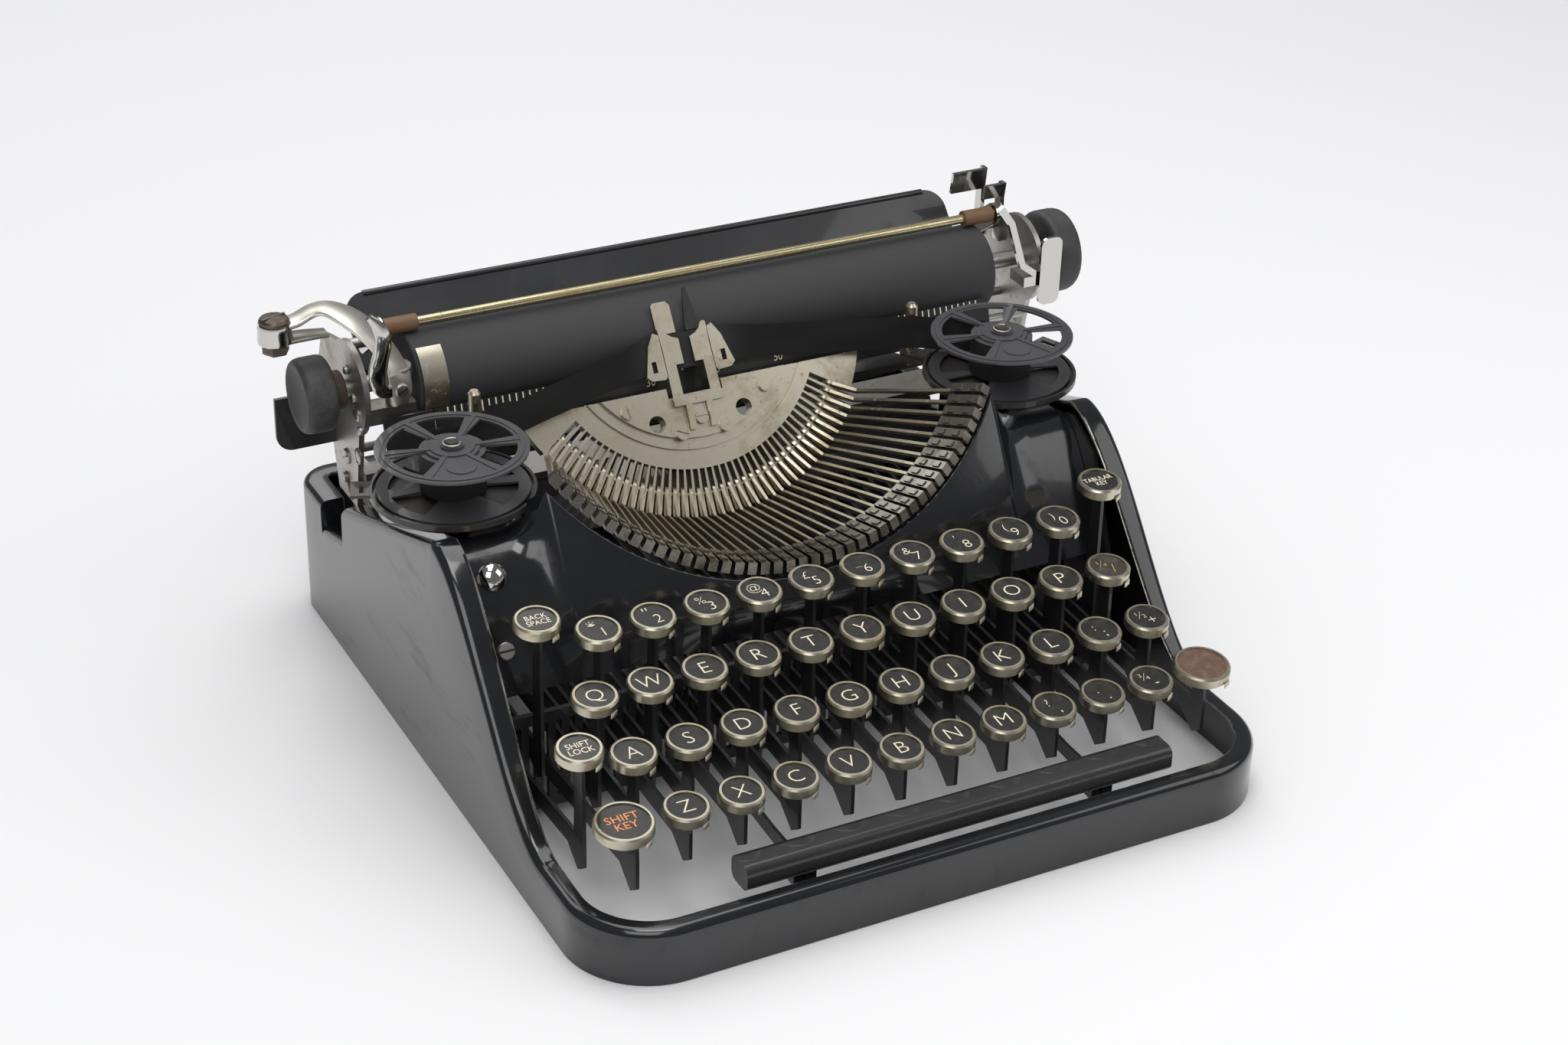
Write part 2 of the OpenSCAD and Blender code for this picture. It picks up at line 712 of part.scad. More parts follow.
module side_plate(s) {
    yz_plate(s * (plate_x + plate_t / 2), plate_t) difference() {
        polygon(concat(
            [[comb_y, 3], [comb_y, 42]],
            [for (i = [1 : 7]) let (y = comb_y + (notch_y[0] - 12 - comb_y) * i / 7) [y, plate_top(y)]],
            [
                [notch_y[0] - 4, plate_top(notch_y[0] - 4)],
                [notch_y[0] - 1.5, notch_z[1] - 3],
                [notch_y[1] + 1.5, notch_z[1] - 3],
                [notch_y[1] + 1.5, rear_h - 5],
                [rear_plate_y + 4, rear_h - 5],
                [rear_plate_y + 4, 3]
            ]
        ));
        translate(fulcrum) circle(fulcrum_r + run_fit);
        translate(shift_axis) circle(shift_shaft_r + run_fit);
        for (y = [36.5, 66.5]) translate([comb_y + y, 30]) circle(9);
    }
    for (p = [[comb_y + 13.5, 14], [body_d - 21, 14]]) {
        x0 = plate_x + plate_t + rivet_gap;
        len = half_w - wall - seat_gap - x0;
        translate([s * x0, p[0], p[1]]) rotate([0, s * 90, 0]) cylinder(r = 4, h = len);
    }
}

rear_plate_y = body_d - 12;

inner_x = plate_x - rivet_gap;

module key_comb() {
    difference() {
        x_bar(-inner_x, inner_x) translate([comb_y, comb_z[0]]) square([comb_t, comb_z[1] - comb_z[0]]);
        for (p = comb_places) translate([key_x(p) - lever_t / 2 - side_gap, comb_y - 1, comb_slot_z[0]])
            cube([lever_t + 2 * side_gap, comb_t + 2, comb_slot_z[1] - comb_slot_z[0]]);
    }
}

// Spring drum, toothed escapement wheel and bell on the rear plate
wheel_teeth = 24;

module on_rear_plate(x, z, off) {
    translate([x, rear_plate_y - rivet_gap - off, z]) rotate([90, 0, 0]) children();
}

module rear_works() {
    x_bar(-inner_x, inner_x) translate([rear_plate_y, 5]) square([2, rear_h - 11]);
    for (s = [-1, 1]) translate([s * 57 - 3, rail_y[0] - rail_w / 2, rail_z[0] - 5.5])
        cube([6, rear_plate_y - rivet_gap - rail_y[0] + rail_w / 2, 5.5 - rivet_gap]);
    for (y = rail_y) x_bar(-plate_x + 2, plate_x - 2) translate([y - rail_w / 2, rail_z[0]])
        square([rail_w, rail_z[1] - rail_z[0]]);
    on_rear_plate(-72, 24, 0) {
        cylinder(r = 15, h = 9);
        cylinder(r = 3, h = 12);
    }
    on_rear_plate(6, 26, 0) cylinder(r = 3, h = 12);
    on_rear_plate(6, 26, 6) linear_extrude(1.5) polygon([
        for (i = [0 : 2 * wheel_teeth - 1])
            let (r = i % 2 == 0 ? 12 : 10.2, a = 180 * i / wheel_teeth) [r * cos(a), r * sin(a)]
    ]);
    on_rear_plate(72, 24, 0) cylinder(r = 2.5, h = 12);
    on_rear_plate(72, 24, 2) difference() {
        intersection() {
            sphere(r = 15);
            cylinder(r = 15, h = 10);
        }
        intersection() {
            sphere(r = 13.8);
            translate([0, 0, -1]) cylinder(r = 15, h = 9.8);
        }
    }
}

module chassis() {
    color(enamel) for (s = [-1, 1]) side_plate(s);
    color(enamel) key_comb();
    color(enamel) rear_works();
    color(steel) x_rod(-plate_x - plate_t - 1, plate_x + plate_t + 1, fulcrum[0], fulcrum[1], fulcrum_r);
    color(enamel) basket_frame() translate([-inner_x, -66, -segment_t - 6]) cube([2 * inner_x, 14, 6]);
    color(enamel) spool_cup();
    color(enamel) mirror([1, 0, 0]) spool_cup();
}

// Vibrator: two horned cheeks, a cross foot with its tongue, two slotted wings and two card fingers
finger_z = [0.6, 1.3];

module vibrator_cheek() {
    polygon([
        [2.2, -7.4], [4.6, -6.4], [6.4, -5], [7.4, -3], [8.6, -2.6], [9.4, -3.2],
        [9.1, -11], [9.4, -27.1], [5.3, -27.1], [5.3, -16.4], [2.2, -16.4]
    ]);
}

module vibrator_wing() {
    difference() {
        polygon([
            [9.45, -5], [11.5, -4], [14.2, -8.5], [17.2, -19], [15.6, -20.6], [10.4, -21], [9.45, -20]
        ]);
        translate([12.6, -18]) square([1.8, 4]);
    }
}

module vibrator_finger(shape) {
    translate([0, 0, finger_z[0]]) linear_extrude(finger_z[1] - finger_z[0]) polygon(shape);
}

module finger_foot(side) {
    translate([side * 8.1 - 1.1, -4.9, finger_z[0]]) cube([2.2, 1.5, vib_z[0] - finger_z[0] - rivet_gap]);
}

module ribbon_vibrator() {
    vib_t = vib_z[1] - vib_z[0];
    color(nickel) basket_frame() {
        for (s = [0, 1]) mirror([s, 0, 0]) translate([0, 0, vib_z[0]]) linear_extrude(vib_t) {
            vibrator_cheek();
            vibrator_wing();
        }
        translate([0, 0, vib_z[0]]) linear_extrude(vib_t) {
            translate([-9.4, -31]) square([18.8, 3.85]);
            for (x = [-5.2, 2.9]) translate([x, -40]) square([2.3, 9.1]);
        }
        vibrator_finger([[-9.2, -4.9], [-2, -4.9], [-2, 5], [-3.4, 6.6], [-8.4, 6.6], [-9.2, 5.6]]);
        finger_foot(-1);
        vibrator_finger([[2, -4.9], [9.2, -4.9], [9.2, -3.4], [7.4, -2.5], [5.6, 10.2], [4.4, 10.2], [2, -3]]);
        finger_foot(1);
    }
}

// Ribbon from spool to spool: straight to the left one, past the guide to the right one
ribbon_t = 0.25;
ribbon_z = spool_z + spool_h / 2;
ribbon_drop = 11.5;
wrap_r = wound_r + 0.5;
guide_pass = [guide[0], guide[1] - guide_r - 0.5];
vib_mid = from_basket(-ribbon_drop, (vib_z[0] + 0.9) / 2);
vib_half = 18;
// Point where a line from a place in plan leaves the wound ribbon of the right spool
function leave(from) = let (d = from - [spool_x, spool_y])
    let (a = atan2(d[1], d[0]) - acos(wrap_r / norm(d))) [spool_x + wrap_r * cos(a), spool_y + wrap_r * sin(a)];
lean_dir = [0, cos(slant), sin(slant)];
up_dir = [0, 0, 1];
left_leave = leave([vib_half, vib_mid[0]]);
left_run = left_leave + unit([vib_half, vib_mid[0]] - left_leave) * spool_r;
right_leave = leave(guide_pass);
route = [
    [[-left_leave[0], left_leave[1], ribbon_z], up_dir],
    [[-left_run[0], left_run[1], ribbon_z], up_dir],
    [[-vib_half, vib_mid[0], vib_mid[1]], lean_dir],
    [[vib_half, vib_mid[0], vib_mid[1]], lean_dir],
    [[guide_pass[0], guide_pass[1], ribbon_z], up_dir],
    [[right_leave[0], right_leave[1], ribbon_z], up_dir]
];
route_steps = 6;
ribbon_path = concat(
    [for (i = [0 : len(route) - 2]) for (k = [0 : route_steps - 1]) let (t = k / route_steps)
        [route[i][0] * (1 - t) + route[i + 1][0] * t, unit(route[i][1] * (1 - t) + route[i + 1][1] * t)]],
    [[route[len(route) - 1][0], route[len(route) - 1][1]]]
);
function path_dir(i) = unit(ribbon_path[min(len(ribbon_path) - 1, i + 1)][0] - ribbon_path[max(0, i - 1)][0]);
function path_ring(i) = let (c = ribbon_path[i][0], w = ribbon_path[i][1] * ribbon_w / 2)
    let (n = unit(cross(path_dir(i), ribbon_path[i][1])) * ribbon_t / 2)
    [c - w - n, c + w - n, c + w + n, c - w + n];

module ribbon() {
    points = [for (i = [0 : len(ribbon_path) - 1]) each path_ring(i)];
    color(rubber) polyhedron(points, tube_faces(len(ribbon_path), 4), convexity = 6);
}

// Carriage bed: plate on the rails with a shoe between them and a guide post at each end
guide_pin = [platen_y + 6, 66];
guide_pin_r = 1.8;
lift = 6;

module carriage_bed() {
    bed_x = end_x - 4;
    color(steel) translate([carriage_x, 0, 0]) {
        x_bar(-bed_x, bed_x) translate([bed_y[0], bed_z[0]]) square([bed_y[1] - bed_y[0], bed_z[1] - bed_z[0]]);
        x_bar(-24, 24) translate([rail_y[0] + rail_w / 2 + side_gap, bed_z[0] - 4])
            square([rail_y[1] - rail_y[0] - rail_w - 2 * side_gap, 4.5]);
        for (s = [-1, 1]) {
            yz_plate(s * (bed_x - 1), 2) translate([guide_pin[0] - 5, bed_z[1] - 0.5]) square([10, 14]);
            translate([s * (bed_x - 0.5), guide_pin[0], guide_pin[1]]) rotate([0, s * 90, 0])
                cylinder(r = guide_pin_r, h = 4.5 + end_t + 1.5);
        }
    }
}

// End plate of the platen frame
module end_shape() {
    difference() {
        union() {
            translate([platen_y, platen_z]) circle(17);
            polygon([
                [platen_y - 9, platen_z - 13], [notch_y[0] + 2.5, 58], [notch_y[1] - 1.5, 58], [platen_y + 22, 84],
                [platen_y + 30, 103], [platen_y + 26, 113], [bail_axis[0], bail_axis[1] + 5], [platen_y + 4, platen_z + 15]
            ]);
        }
        translate([platen_y, platen_z]) circle(shaft_r + run_fit);
        translate(guide_pin) rotate([0, 0, slant]) {
            circle(guide_pin_r + side_gap);
            translate([-lift - side_gap, 0]) circle(guide_pin_r + side_gap);
            translate([-lift - side_gap, -guide_pin_r - side_gap])
                square([lift + side_gap, 2 * (guide_pin_r + side_gap)]);
        }
    }
}

feed_r = 5;
feed_gap = platen_r + feed_r + 0.5;
feed_axes = [for (a = [250, 300]) [platen_y + feed_gap * cos(a), platen_z + feed_gap * sin(a)]];
table_dir = [paper_top[0] - paper_foot[0], paper_top[1] - paper_foot[1]];
table_l = norm(table_dir);
table_angle = atan2(table_dir[1], table_dir[0]);
table_half = end_x - 11;

module paper_table() {
    translate([0, paper_foot[0], paper_foot[1]]) rotate([table_angle, 0, 0]) {
        translate([0, table_l / 2, -1.2]) linear_extrude(1.2) round_rect(2 * table_half, table_l, 8);
        translate([-table_half + 8, table_l - 0.6, -0.6]) rotate([0, 90, 0]) cylinder(r = 1.3, h = 2 * table_half - 16);
        for (s = [-1, 1]) translate([s * (table_half - 4) - 4, 1, -3.2]) cube([8, 12, 2.4]);
    }
}

// Release lever: stem on the inner face of the right end plate with a leaning thumb plate
module release_lever(y, foot, top, reach, tall) {
    x = end_x - 0.8 - rivet_gap;
    yz_plate(x, 1.6) polygon([
        [y - 2.5, foot], [y - 2, top - tall], [y - 3, top], [y, top], [y + 2, top - tall], [y + 2.5, foot]
    ]);
    translate([x - reach, y - 1.5, top - tall]) rotate([8, 0, 0]) cube([reach, 1.4, tall - 0.5]);
}

// Strip of width w along a line of points in a plane
function strip(line, w) = concat(
    [for (i = [0 : len(line) - 1]) line[i] + strip_side(line, i) * w / 2],
    [for (i = [len(line) - 1 : -1 : 0]) line[i] - strip_side(line, i) * w / 2]
);
function strip_side(line, i) = let (d = unit(line[min(len(line) - 1, i + 1)] - line[max(0, i - 1)])) [-d[1], d[0]];

// Upright plate in the X-Z plane from y to y + t
module xz_plate(y, t) {
    translate([0, y + t, 0]) rotate([90, 0, 0]) linear_extrude(t) children();
}

wing_l = 21.5;
wing_z = [75.5, 96];
post_x = -end_x + 11;
post_y = platen_y - 12;
block_z = [95, 101];
lever_hub_z = 110.5;
scale_y = platen_y - 20.8;
pin_l = 12;
spring_bar = [[-20, 134], [-15, 127], [-11, 115], [-9, 109], [-2.2, 104]];

module wing() {
    xz_plate(platen_y + 15.4, 1.4) translate([-end_x - end_t - rivet_gap, 0]) difference() {
        translate([-wing_l, wing_z[0]]) square([wing_l, wing_z[1] - wing_z[0]]);
        translate([-wing_l, wing_z[0]]) difference() {
            translate([-1, -1]) square(7);
            translate([6, 6]) circle(6);
        }
    }
}

module line_scale() {
    x_bar(-platen_l / 2 + 4, platen_l / 2 - 4)
        polygon([[scale_y, 85], [scale_y + 1.2, 84.6], [scale_y + 5.2, 97.6], [scale_y + 4, 98]]);
}

module scale_bracket(x) {
    x_bar(x - 3, x + 3) polygon([
        [scale_y + 1.5, 84.8], [feed_axes[0][0] - 1.8, feed_axes[0][1] - 1],
        [feed_axes[0][0] - 1.8, feed_axes[0][1] + 1], [scale_y + 1.9, 86]
    ]);
}

// Strip that holds the paper against the platen at the left margin
module paper_finger() {
    translate([-platen_l / 2 + 1, platen_y, platen_z]) rotate([90, 0, 90]) rotate([0, 0, 122])
        rotate_extrude(angle = 77) translate([platen_r + 0.5, 0]) square([0.7, 9]);
}

module lever_post() {
    translate([-end_x + rivet_gap, post_y - 3, block_z[0]])
        cube([end_room - 1.5, 8, block_z[1] - block_z[0]]);
    translate([post_x, post_y, block_z[1] - 0.1]) {
        cylinder(r = 4, h = lever_hub_z - side_gap - block_z[1] + 0.1);
        cylinder(r = 2.5, h = lever_hub_z + 6.5 - block_z[1]);
    }
}

// Bent bar and shield in front of the right end plate, on one block
module right_guard() {
    translate([end_x - rivet_gap - 8, platen_y - 19, 100]) cube([8, 10, 4]);
    xz_plate(platen_y - 19, 2) translate([end_x, 0]) polygon(strip(spring_bar, 2.5));
    xz_plate(platen_y - 20.3 - rivet_gap, 1.3) translate([end_x + 2.5, 105.5]) round_rect(9, 27, 3);
}

module platen_frame() {
    in_x = end_x - rivet_gap;
    translate([carriage_x, 0, 0]) {
        for (s = [-1, 1]) color(steel) yz_plate(s * (end_x + end_t / 2), end_t) end_shape();
        color(steel) x_bar(-in_x, in_x) translate([platen_y - 8, tie_z]) square([7, 3]);
        for (p = feed_axes) {
            color(steel) x_rod(-in_x, in_x, p[0], p[1], 1.6);
            color(rubber) for (k = [-3 : 2 : 3]) let (x = k * platen_l / 8) x_rod(x - 16, x + 16, p[0], p[1], feed_r);
        }
        color(enamel) paper_table();
        color(steel) x_rod(-in_x, in_x, paper_foot[0] + 3, paper_foot[1] - 1.4, 1.4);
        color(enamel) line_scale();
        color(steel) for (s = [-1, 1]) scale_bracket(s * (platen_l / 2 - 5.5));
        color(nickel) paper_finger();
        color(enamel) wing();
        color(steel) lever_post();
        color(nickel) right_guard();
        color(nickel) release_lever(platen_y + 27, 103, 131, 14, 9);
        color(nickel) release_lever(platen_y + 13, 106, 130, 8, 6);
        for (s = [-1, 1]) color(steel) translate([s * in_x, bail_axis[0], bail_axis[1]])
            rotate([0, -s * 90, 0]) cylinder(r = 2, h = pin_l);
    }
}

// Platen with its shaft and two knobs
module knob(x, s, knob_r) {
    translate([x, platen_y, platen_z]) rotate([0, s * 90, 0]) difference() {
        union() {
            cylinder(r = 8, h = 2.5);
            translate([0, 0, 2.4]) cylinder(r = knob_r, h = knob_l - 4.4);
            translate([0, 0, knob_l - 2]) cylinder(r1 = knob_r, r2 = knob_r - 1.5, h = 2);
        }
        translate([0, 0, knob_l + 24.6 + (knob_r - 13.3) * 2]) sphere(r = 27 + (knob_r - 13.3) * 2);
    }
}

module platen() {
    knob_x = end_x + end_t + 2.5;
    translate([carriage_x, 0, 0]) {
        color(rubber) x_rod(-platen_l / 2, platen_l / 2, platen_y, platen_z, platen_r);
        color(steel) x_rod(-knob_x - 4, knob_x + 4, platen_y, platen_z, shaft_r);
        color(rubber) knob(-knob_x, -1, knob_r);
        color(rubber) knob(knob_x, 1, right_knob_r);
    }
}

// Paper bail: rod with a sleeve near each end on two arms
sleeve_r = bail_r + 1.3;
sleeve_l = 12;
rod_y = platen_y + 1.5;
rod_z = platen_z + sqrt(pow(platen_r + sleeve_r + 0.4, 2) - 2.25);

module bail_arm(x) {
    yz_plate(x, 1.5) difference() {
        union() {
            translate(bail_axis) circle(4);
            translate([rod_y, rod_z]) circle(4);
            polygon([
                [bail_axis[0] + 2, bail_axis[1] + 3.4], [bail_axis[0] - 2, bail_axis[1] - 3.4],
                [rod_y - 2, rod_z - 3.4], [rod_y + 2, rod_z + 3.4]
            ]);
        }
        translate(bail_axis) circle(2 + run_fit);
    }
}

module paper_bail() {
    arm_x = end_x - pin_l + 1.5;
    translate([carriage_x, 0, 0]) {
        color(brass) x_rod(-arm_x, arm_x, rod_y, rod_z, bail_r);
        color(rubber) for (s = [-1, 1]) let (x = s * (arm_x - 1.5 - sleeve_l / 2))
            x_rod(x - sleeve_l / 2, x + sleeve_l / 2, rod_y, rod_z, sleeve_r);
        color(nickel) for (s = [-1, 1]) bail_arm(s * arm_x);
    }
}

// Return lever on its upright post: front tab with screw, rising arm, outer plate, head and spoon
lever_reach = 38;
lever_end_r = 6;
lever_out = 15;
arm_turn = atan2(lever_out, -16);
arm_rise = [
    [0, 0], [0, 4.5], [3, 4.5], [19.5, 23.9], [25, 23.9], [25, 20.5], [21, 20.5], [5, 1.5], [4, 0]
];
spoon = [[-6.2, -6.5], [-5.2, 1.5], [-5.6, 9.5], [-7.4, 17.5], [-11, 25]];

module return_lever() {
    translate([carriage_x + post_x, post_y, lever_hub_z]) {
        color(nickel) difference() {
            union() {
                cylinder(r = 5.5, h = 4.5);
                rotate([0, 0, arm_turn]) xz_plate(-3, 6) polygon(arm_rise);
                translate([-lever_reach, lever_out - 4, 20.5]) cube([lever_reach - 14.5, 8, 3.4]);
                translate([-lever_reach, lever_out, 19]) cylinder(r = lever_end_r, h = 7);
                translate([-lever_reach, lever_out, 15.5]) cylinder(r = 4.8, h = 3.6, $fn = 6);
                translate([-5.6, -6.2, -8.5]) cube([8.2, 1.6, 10.5]);
                xz_plate(-7.6, 2.8) polygon(strip(spoon, 1.8));
            }
            translate([0, 0, -1]) cylinder(r = 2.5 + run_fit, h = 8);
        }
        color(steel) translate([-lever_reach, lever_out, 25.9]) slot_screw(4.2, 2.2);
        color(steel) translate([-1.2, -6.1, -4.5]) rotate([90, 0, 0]) slot_screw(2.6, 1);
    }
}

// The origin is the middle of the whole object's box, on the table
box_low_x = carriage_x + post_x - lever_reach - lever_end_r;
box_high_x = carriage_x + end_x + end_t + 2.5 + knob_l;
mid_x = (box_low_x + box_high_x) / 2;
mid_y = body_d / 2;

translate([-mid_x, -mid_y, 0]) {
    casing();
    front_panel();
    chassis();
    type_basket();
    typebar();
    ribbon();
    left_spool();
    right_spool();
    ribbon_vibrator();
    carriage_bed();
    platen_frame();
    platen();
    paper_bail();
    return_lever();
    space_bar();
    shift_keys();
    backspace_key();
    tab_key();
    for (k = char_keys) char_key(k);
}
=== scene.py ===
"""Looks of a portable typewriter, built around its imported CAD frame."""
import logging
import math
from abc import ABC, abstractmethod
from dataclasses import dataclass, field
from enum import Enum
from typing import Any, Callable, Dict, List, Optional, Sequence, Tuple, Union

import bmesh
import bpy
from mathutils import Matrix, Vector


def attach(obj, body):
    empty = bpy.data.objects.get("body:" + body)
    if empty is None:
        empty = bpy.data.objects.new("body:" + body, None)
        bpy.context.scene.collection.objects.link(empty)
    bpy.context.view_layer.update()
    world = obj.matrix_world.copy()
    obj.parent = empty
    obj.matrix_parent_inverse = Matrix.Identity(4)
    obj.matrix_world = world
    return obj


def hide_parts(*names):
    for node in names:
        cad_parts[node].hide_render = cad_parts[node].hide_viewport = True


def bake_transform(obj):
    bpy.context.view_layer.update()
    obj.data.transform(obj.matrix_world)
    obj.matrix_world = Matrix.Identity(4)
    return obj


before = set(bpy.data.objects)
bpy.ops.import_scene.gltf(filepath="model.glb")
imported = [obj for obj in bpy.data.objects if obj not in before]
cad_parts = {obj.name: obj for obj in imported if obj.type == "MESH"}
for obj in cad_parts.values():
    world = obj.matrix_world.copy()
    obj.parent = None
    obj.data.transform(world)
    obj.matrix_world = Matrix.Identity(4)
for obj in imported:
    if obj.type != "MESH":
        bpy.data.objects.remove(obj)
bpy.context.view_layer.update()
LOG = logging.getLogger("typewriter")

Colour = Tuple[float, float, float]
Point = Tuple[float, float, float]
Span = Tuple[float, float]
Row = Tuple[float, ...]
Face = Tuple[int, ...]
Test = Callable[[Vector, Vector], bool]
Rule = Tuple[Test, "Finish"]

# Sizes are machine millimetres: X from the body's middle, Y from the front rail, Z from the table.
MM = 1000
MID_X = 10.75
MID_Y = 134.5

# Middle of the carriage at rest, and how far its end plates stand from there.
CARRIAGE_X = 17.0
END_X = 133.0

# Axis and radius of the platen, on which the print point lies, and slant of the segment.
PLATEN_Y = 224.0
PLATEN_Z = 103.5
PLATEN_R = 15.9
SLANT = math.radians(56)

# Axis of the right spool. The left one mirrors it.
SPOOL_X = 105.0
SPOOL_Y = 161.0

# Bounds of a zone that is open on a side.
FAR = 1e4
EVERY: Span = (-FAR, FAR)

UP: Point = (0, 0, 1)


class Body(str, Enum):
    """Bodies that pieces ride on."""

    FRAME = "frame"
    VIBRATOR = "ribbon_vibrator"
    CARRIAGE = "platen_frame"
    PLATEN = "platen"
    LEFT_SPOOL = "left_spool"
    RIGHT_SPOOL = "right_spool"
    LEVER = "return_lever"


class Layer(str, Enum):
    """Names of vertex attributes that materials read."""

    WEAR = "wear"
    ALONG = "along"


def metres(x: float, y: float, z: float) -> Vector:
    """Turns a machine point into the frame's metres.

    Args:
        x: Millimetres to the right of the body's middle.
        y: Millimetres behind the front rail.
        z: Millimetres above the table.

    Returns:
        The point in the row frame.
    """
    return Vector(((x - MID_X) / MM, (y - MID_Y) / MM, z / MM))


def machine(p: Vector) -> Vector:
    """Turns a point of the row frame into machine millimetres.

    Args:
        p: Point in metres.

    Returns:
        The point in machine millimetres.
    """
    return Vector((p.x * MM + MID_X, p.y * MM + MID_Y, p.z * MM))


def smooth(t: float) -> float:
    """Gives the smooth step of t.

    Args:
        t: Any number.

    Returns:
        0 below 0, 1 above 1 and a smooth rise between.
    """
    c = max(0.0, min(1.0, t))
    return c * c * (3 - 2 * c)


def tone(colour: Colour, share: float) -> Colour:
    """Makes a colour lighter or darker.

    Args:
        colour: The colour.
        share: Factor of each of its parts.

    Returns:
        The changed colour.
    """
    red, green, blue = (c * share for c in colour)
    return red, green, blue


class Sock:
    """A shader value that can be added, multiplied and compared like a number."""

    def __init__(self, graph: "Graph", socket: bpy.types.NodeSocket) -> None:
        """Wraps an output socket.

        Args:
            graph: Graph that the socket belongs to.
            socket: The output socket.
        """
        self.graph = graph
        self.socket = socket

    def _math(self, kind: str, a: Any, b: Any) -> "Sock":
        """Makes one math node.

        Args:
            kind: Operation of the node.
            a: First value.
            b: Second value.

        Returns:
            The node's value.
        """
        return self.graph.add("Math", {0: a, 1: b}, operation=kind)

    def __add__(self, other: Any) -> "Sock":
        """Adds a value."""
        return self._math("ADD", self, other)

    __radd__ = __add__

    def __sub__(self, other: Any) -> "Sock":
        """Takes a value away."""
        return self._math("SUBTRACT", self, other)

    def __rsub__(self, other: Any) -> "Sock":
        """Takes this away from a value."""
        return self._math("SUBTRACT", other, self)

    def __mul__(self, other: Any) -> "Sock":
        """Multiplies by a value."""
        return self._math("MULTIPLY", self, other)

    __rmul__ = __mul__

    def sharpen(self, low: float, high: float) -> "Sock":
        """Stretches a band of values over 0 to 1.

        Args:
            low: Value that becomes 0.
            high: Value that becomes 1.

        Returns:
            The smooth, clamped value.
        """
        bounds = {0: self, 1: low, 2: high, 3: 0.0, 4: 1.0}
        return self.graph.add("MapRange", bounds, interpolation_type="SMOOTHSTEP")


class Graph:
    """Builds the nodes of one material or of the world."""

    def __init__(self, owner: Union[bpy.types.Material, bpy.types.World], shader: str) -> None:
        """Opens the owner's node tree.

        Args:
            owner: The material or world.
            shader: Name of the node that the values feed.
        """
        owner.use_nodes = True
        self.tree = owner.node_tree
        self.shader = self.tree.nodes[shader]

    def add(self, kind: str, inputs: Optional[Dict[Any, Any]] = None, out: Any = 0, **props: Any) -> Sock:
        """Adds a shader node of any kind.

        Args:
            kind: Node type without its prefix.
            inputs: Values or sockets by input name or number.
            out: Name or number of the output that is wanted.
            **props: Properties of the node.

        Returns:
            The wanted output.
        """
        made = self.tree.nodes.new("ShaderNode" + kind)
        for key, value in props.items():
            setattr(made, key, value)
        for key, value in (inputs or {}).items():
            self.feed(made.inputs[key], value)
        return Sock(self, made.outputs[out])

    def feed(self, target: bpy.types.NodeSocket, value: Any) -> None:
        """Links or sets an input.

        Args:
            target: The input socket.
            value: A Sock, a number or a colour.
        """
        if isinstance(value, Sock):
            self.tree.links.new(value.socket, target)
        elif isinstance(value, tuple) and len(value) == 3 and target.type == "RGBA":
            target.default_value = (*value, 1.0)
        else:
            target.default_value = value

    def shade(self, values: Dict[str, Any]) -> None:
        """Feeds the shader.

        Args:
            values: Values or sockets by input name.
        """
        for key, value in values.items():
            self.feed(self.shader.inputs[key], value)

    def place(self) -> Sock:
        """Gives the point on the object, in metres."""
        return self.add("TexCoord", out="Object")

    def noise(self, scale: float, detail: float = 4.0, rough: float = 0.6, warp: float = 0.0,
              stretch: Optional[Point] = None) -> Sock:
        """Adds a noise pattern.

        Args:
            scale: Spots per metre.
            detail: Octaves of detail.
            rough: Weight of the finer octaves.
            warp: Distortion of the pattern.
            stretch: Scale along each axis, or None.

        Returns:
            The noise from 0 to 1.
        """
        where = self.place()
        if stretch is not None:
            where = self.add("Mapping", {"Vector": where, "Scale": stretch})
        return self.add("TexNoise", {"Vector": where, "Scale": scale, "Detail": detail,
                                     "Roughness": rough, "Distortion": warp})

    def mix(self, amount: Any, a: Any, b: Any) -> Sock:
        """Mixes two colours.

        Args:
            amount: Share of the second colour.
            a: First colour.
            b: Second colour.

        Returns:
            The mixed colour.
        """
        return self.add("Mix", {0: amount, 6: a, 7: b}, out=2, data_type="RGBA")

    def bump(self, height: Sock, strength: float, depth: float) -> Sock:
        """Adds a bump.

        Args:
            height: Height pattern.
            strength: Share of the effect.
            depth: Height in metres.

        Returns:
            The bent normal.
        """
        return self.add("Bump", {"Height": height, "Strength": strength, "Distance": depth})

    def layer(self, name: Layer) -> Sock:
        """Reads a vertex attribute.

        Args:
            name: The attribute.

        Returns:
            Its value.
        """
        return self.add("Attribute", out="Fac", attribute_name=name.value)


@dataclass(frozen=True)
class Finish(ABC):
    """One surface finish."""

    name: str

    @abstractmethod
    def wire(self, g: Graph) -> Dict[str, Any]:
        """Makes the pattern of the finish.

        Args:
            g: Graph to build in.

        Returns:
            Values of the shader by input name.
        """

    def material(self) -> bpy.types.Material:
        """Gives the finish's material, made once.

        Returns:
            The material.
        """
        known = bpy.data.materials.get(self.name)
        if known is not None:
            return known
        made = bpy.data.materials.new(self.name)
        g = Graph(made, "Principled BSDF")
        g.shade(self.wire(g))
        return made


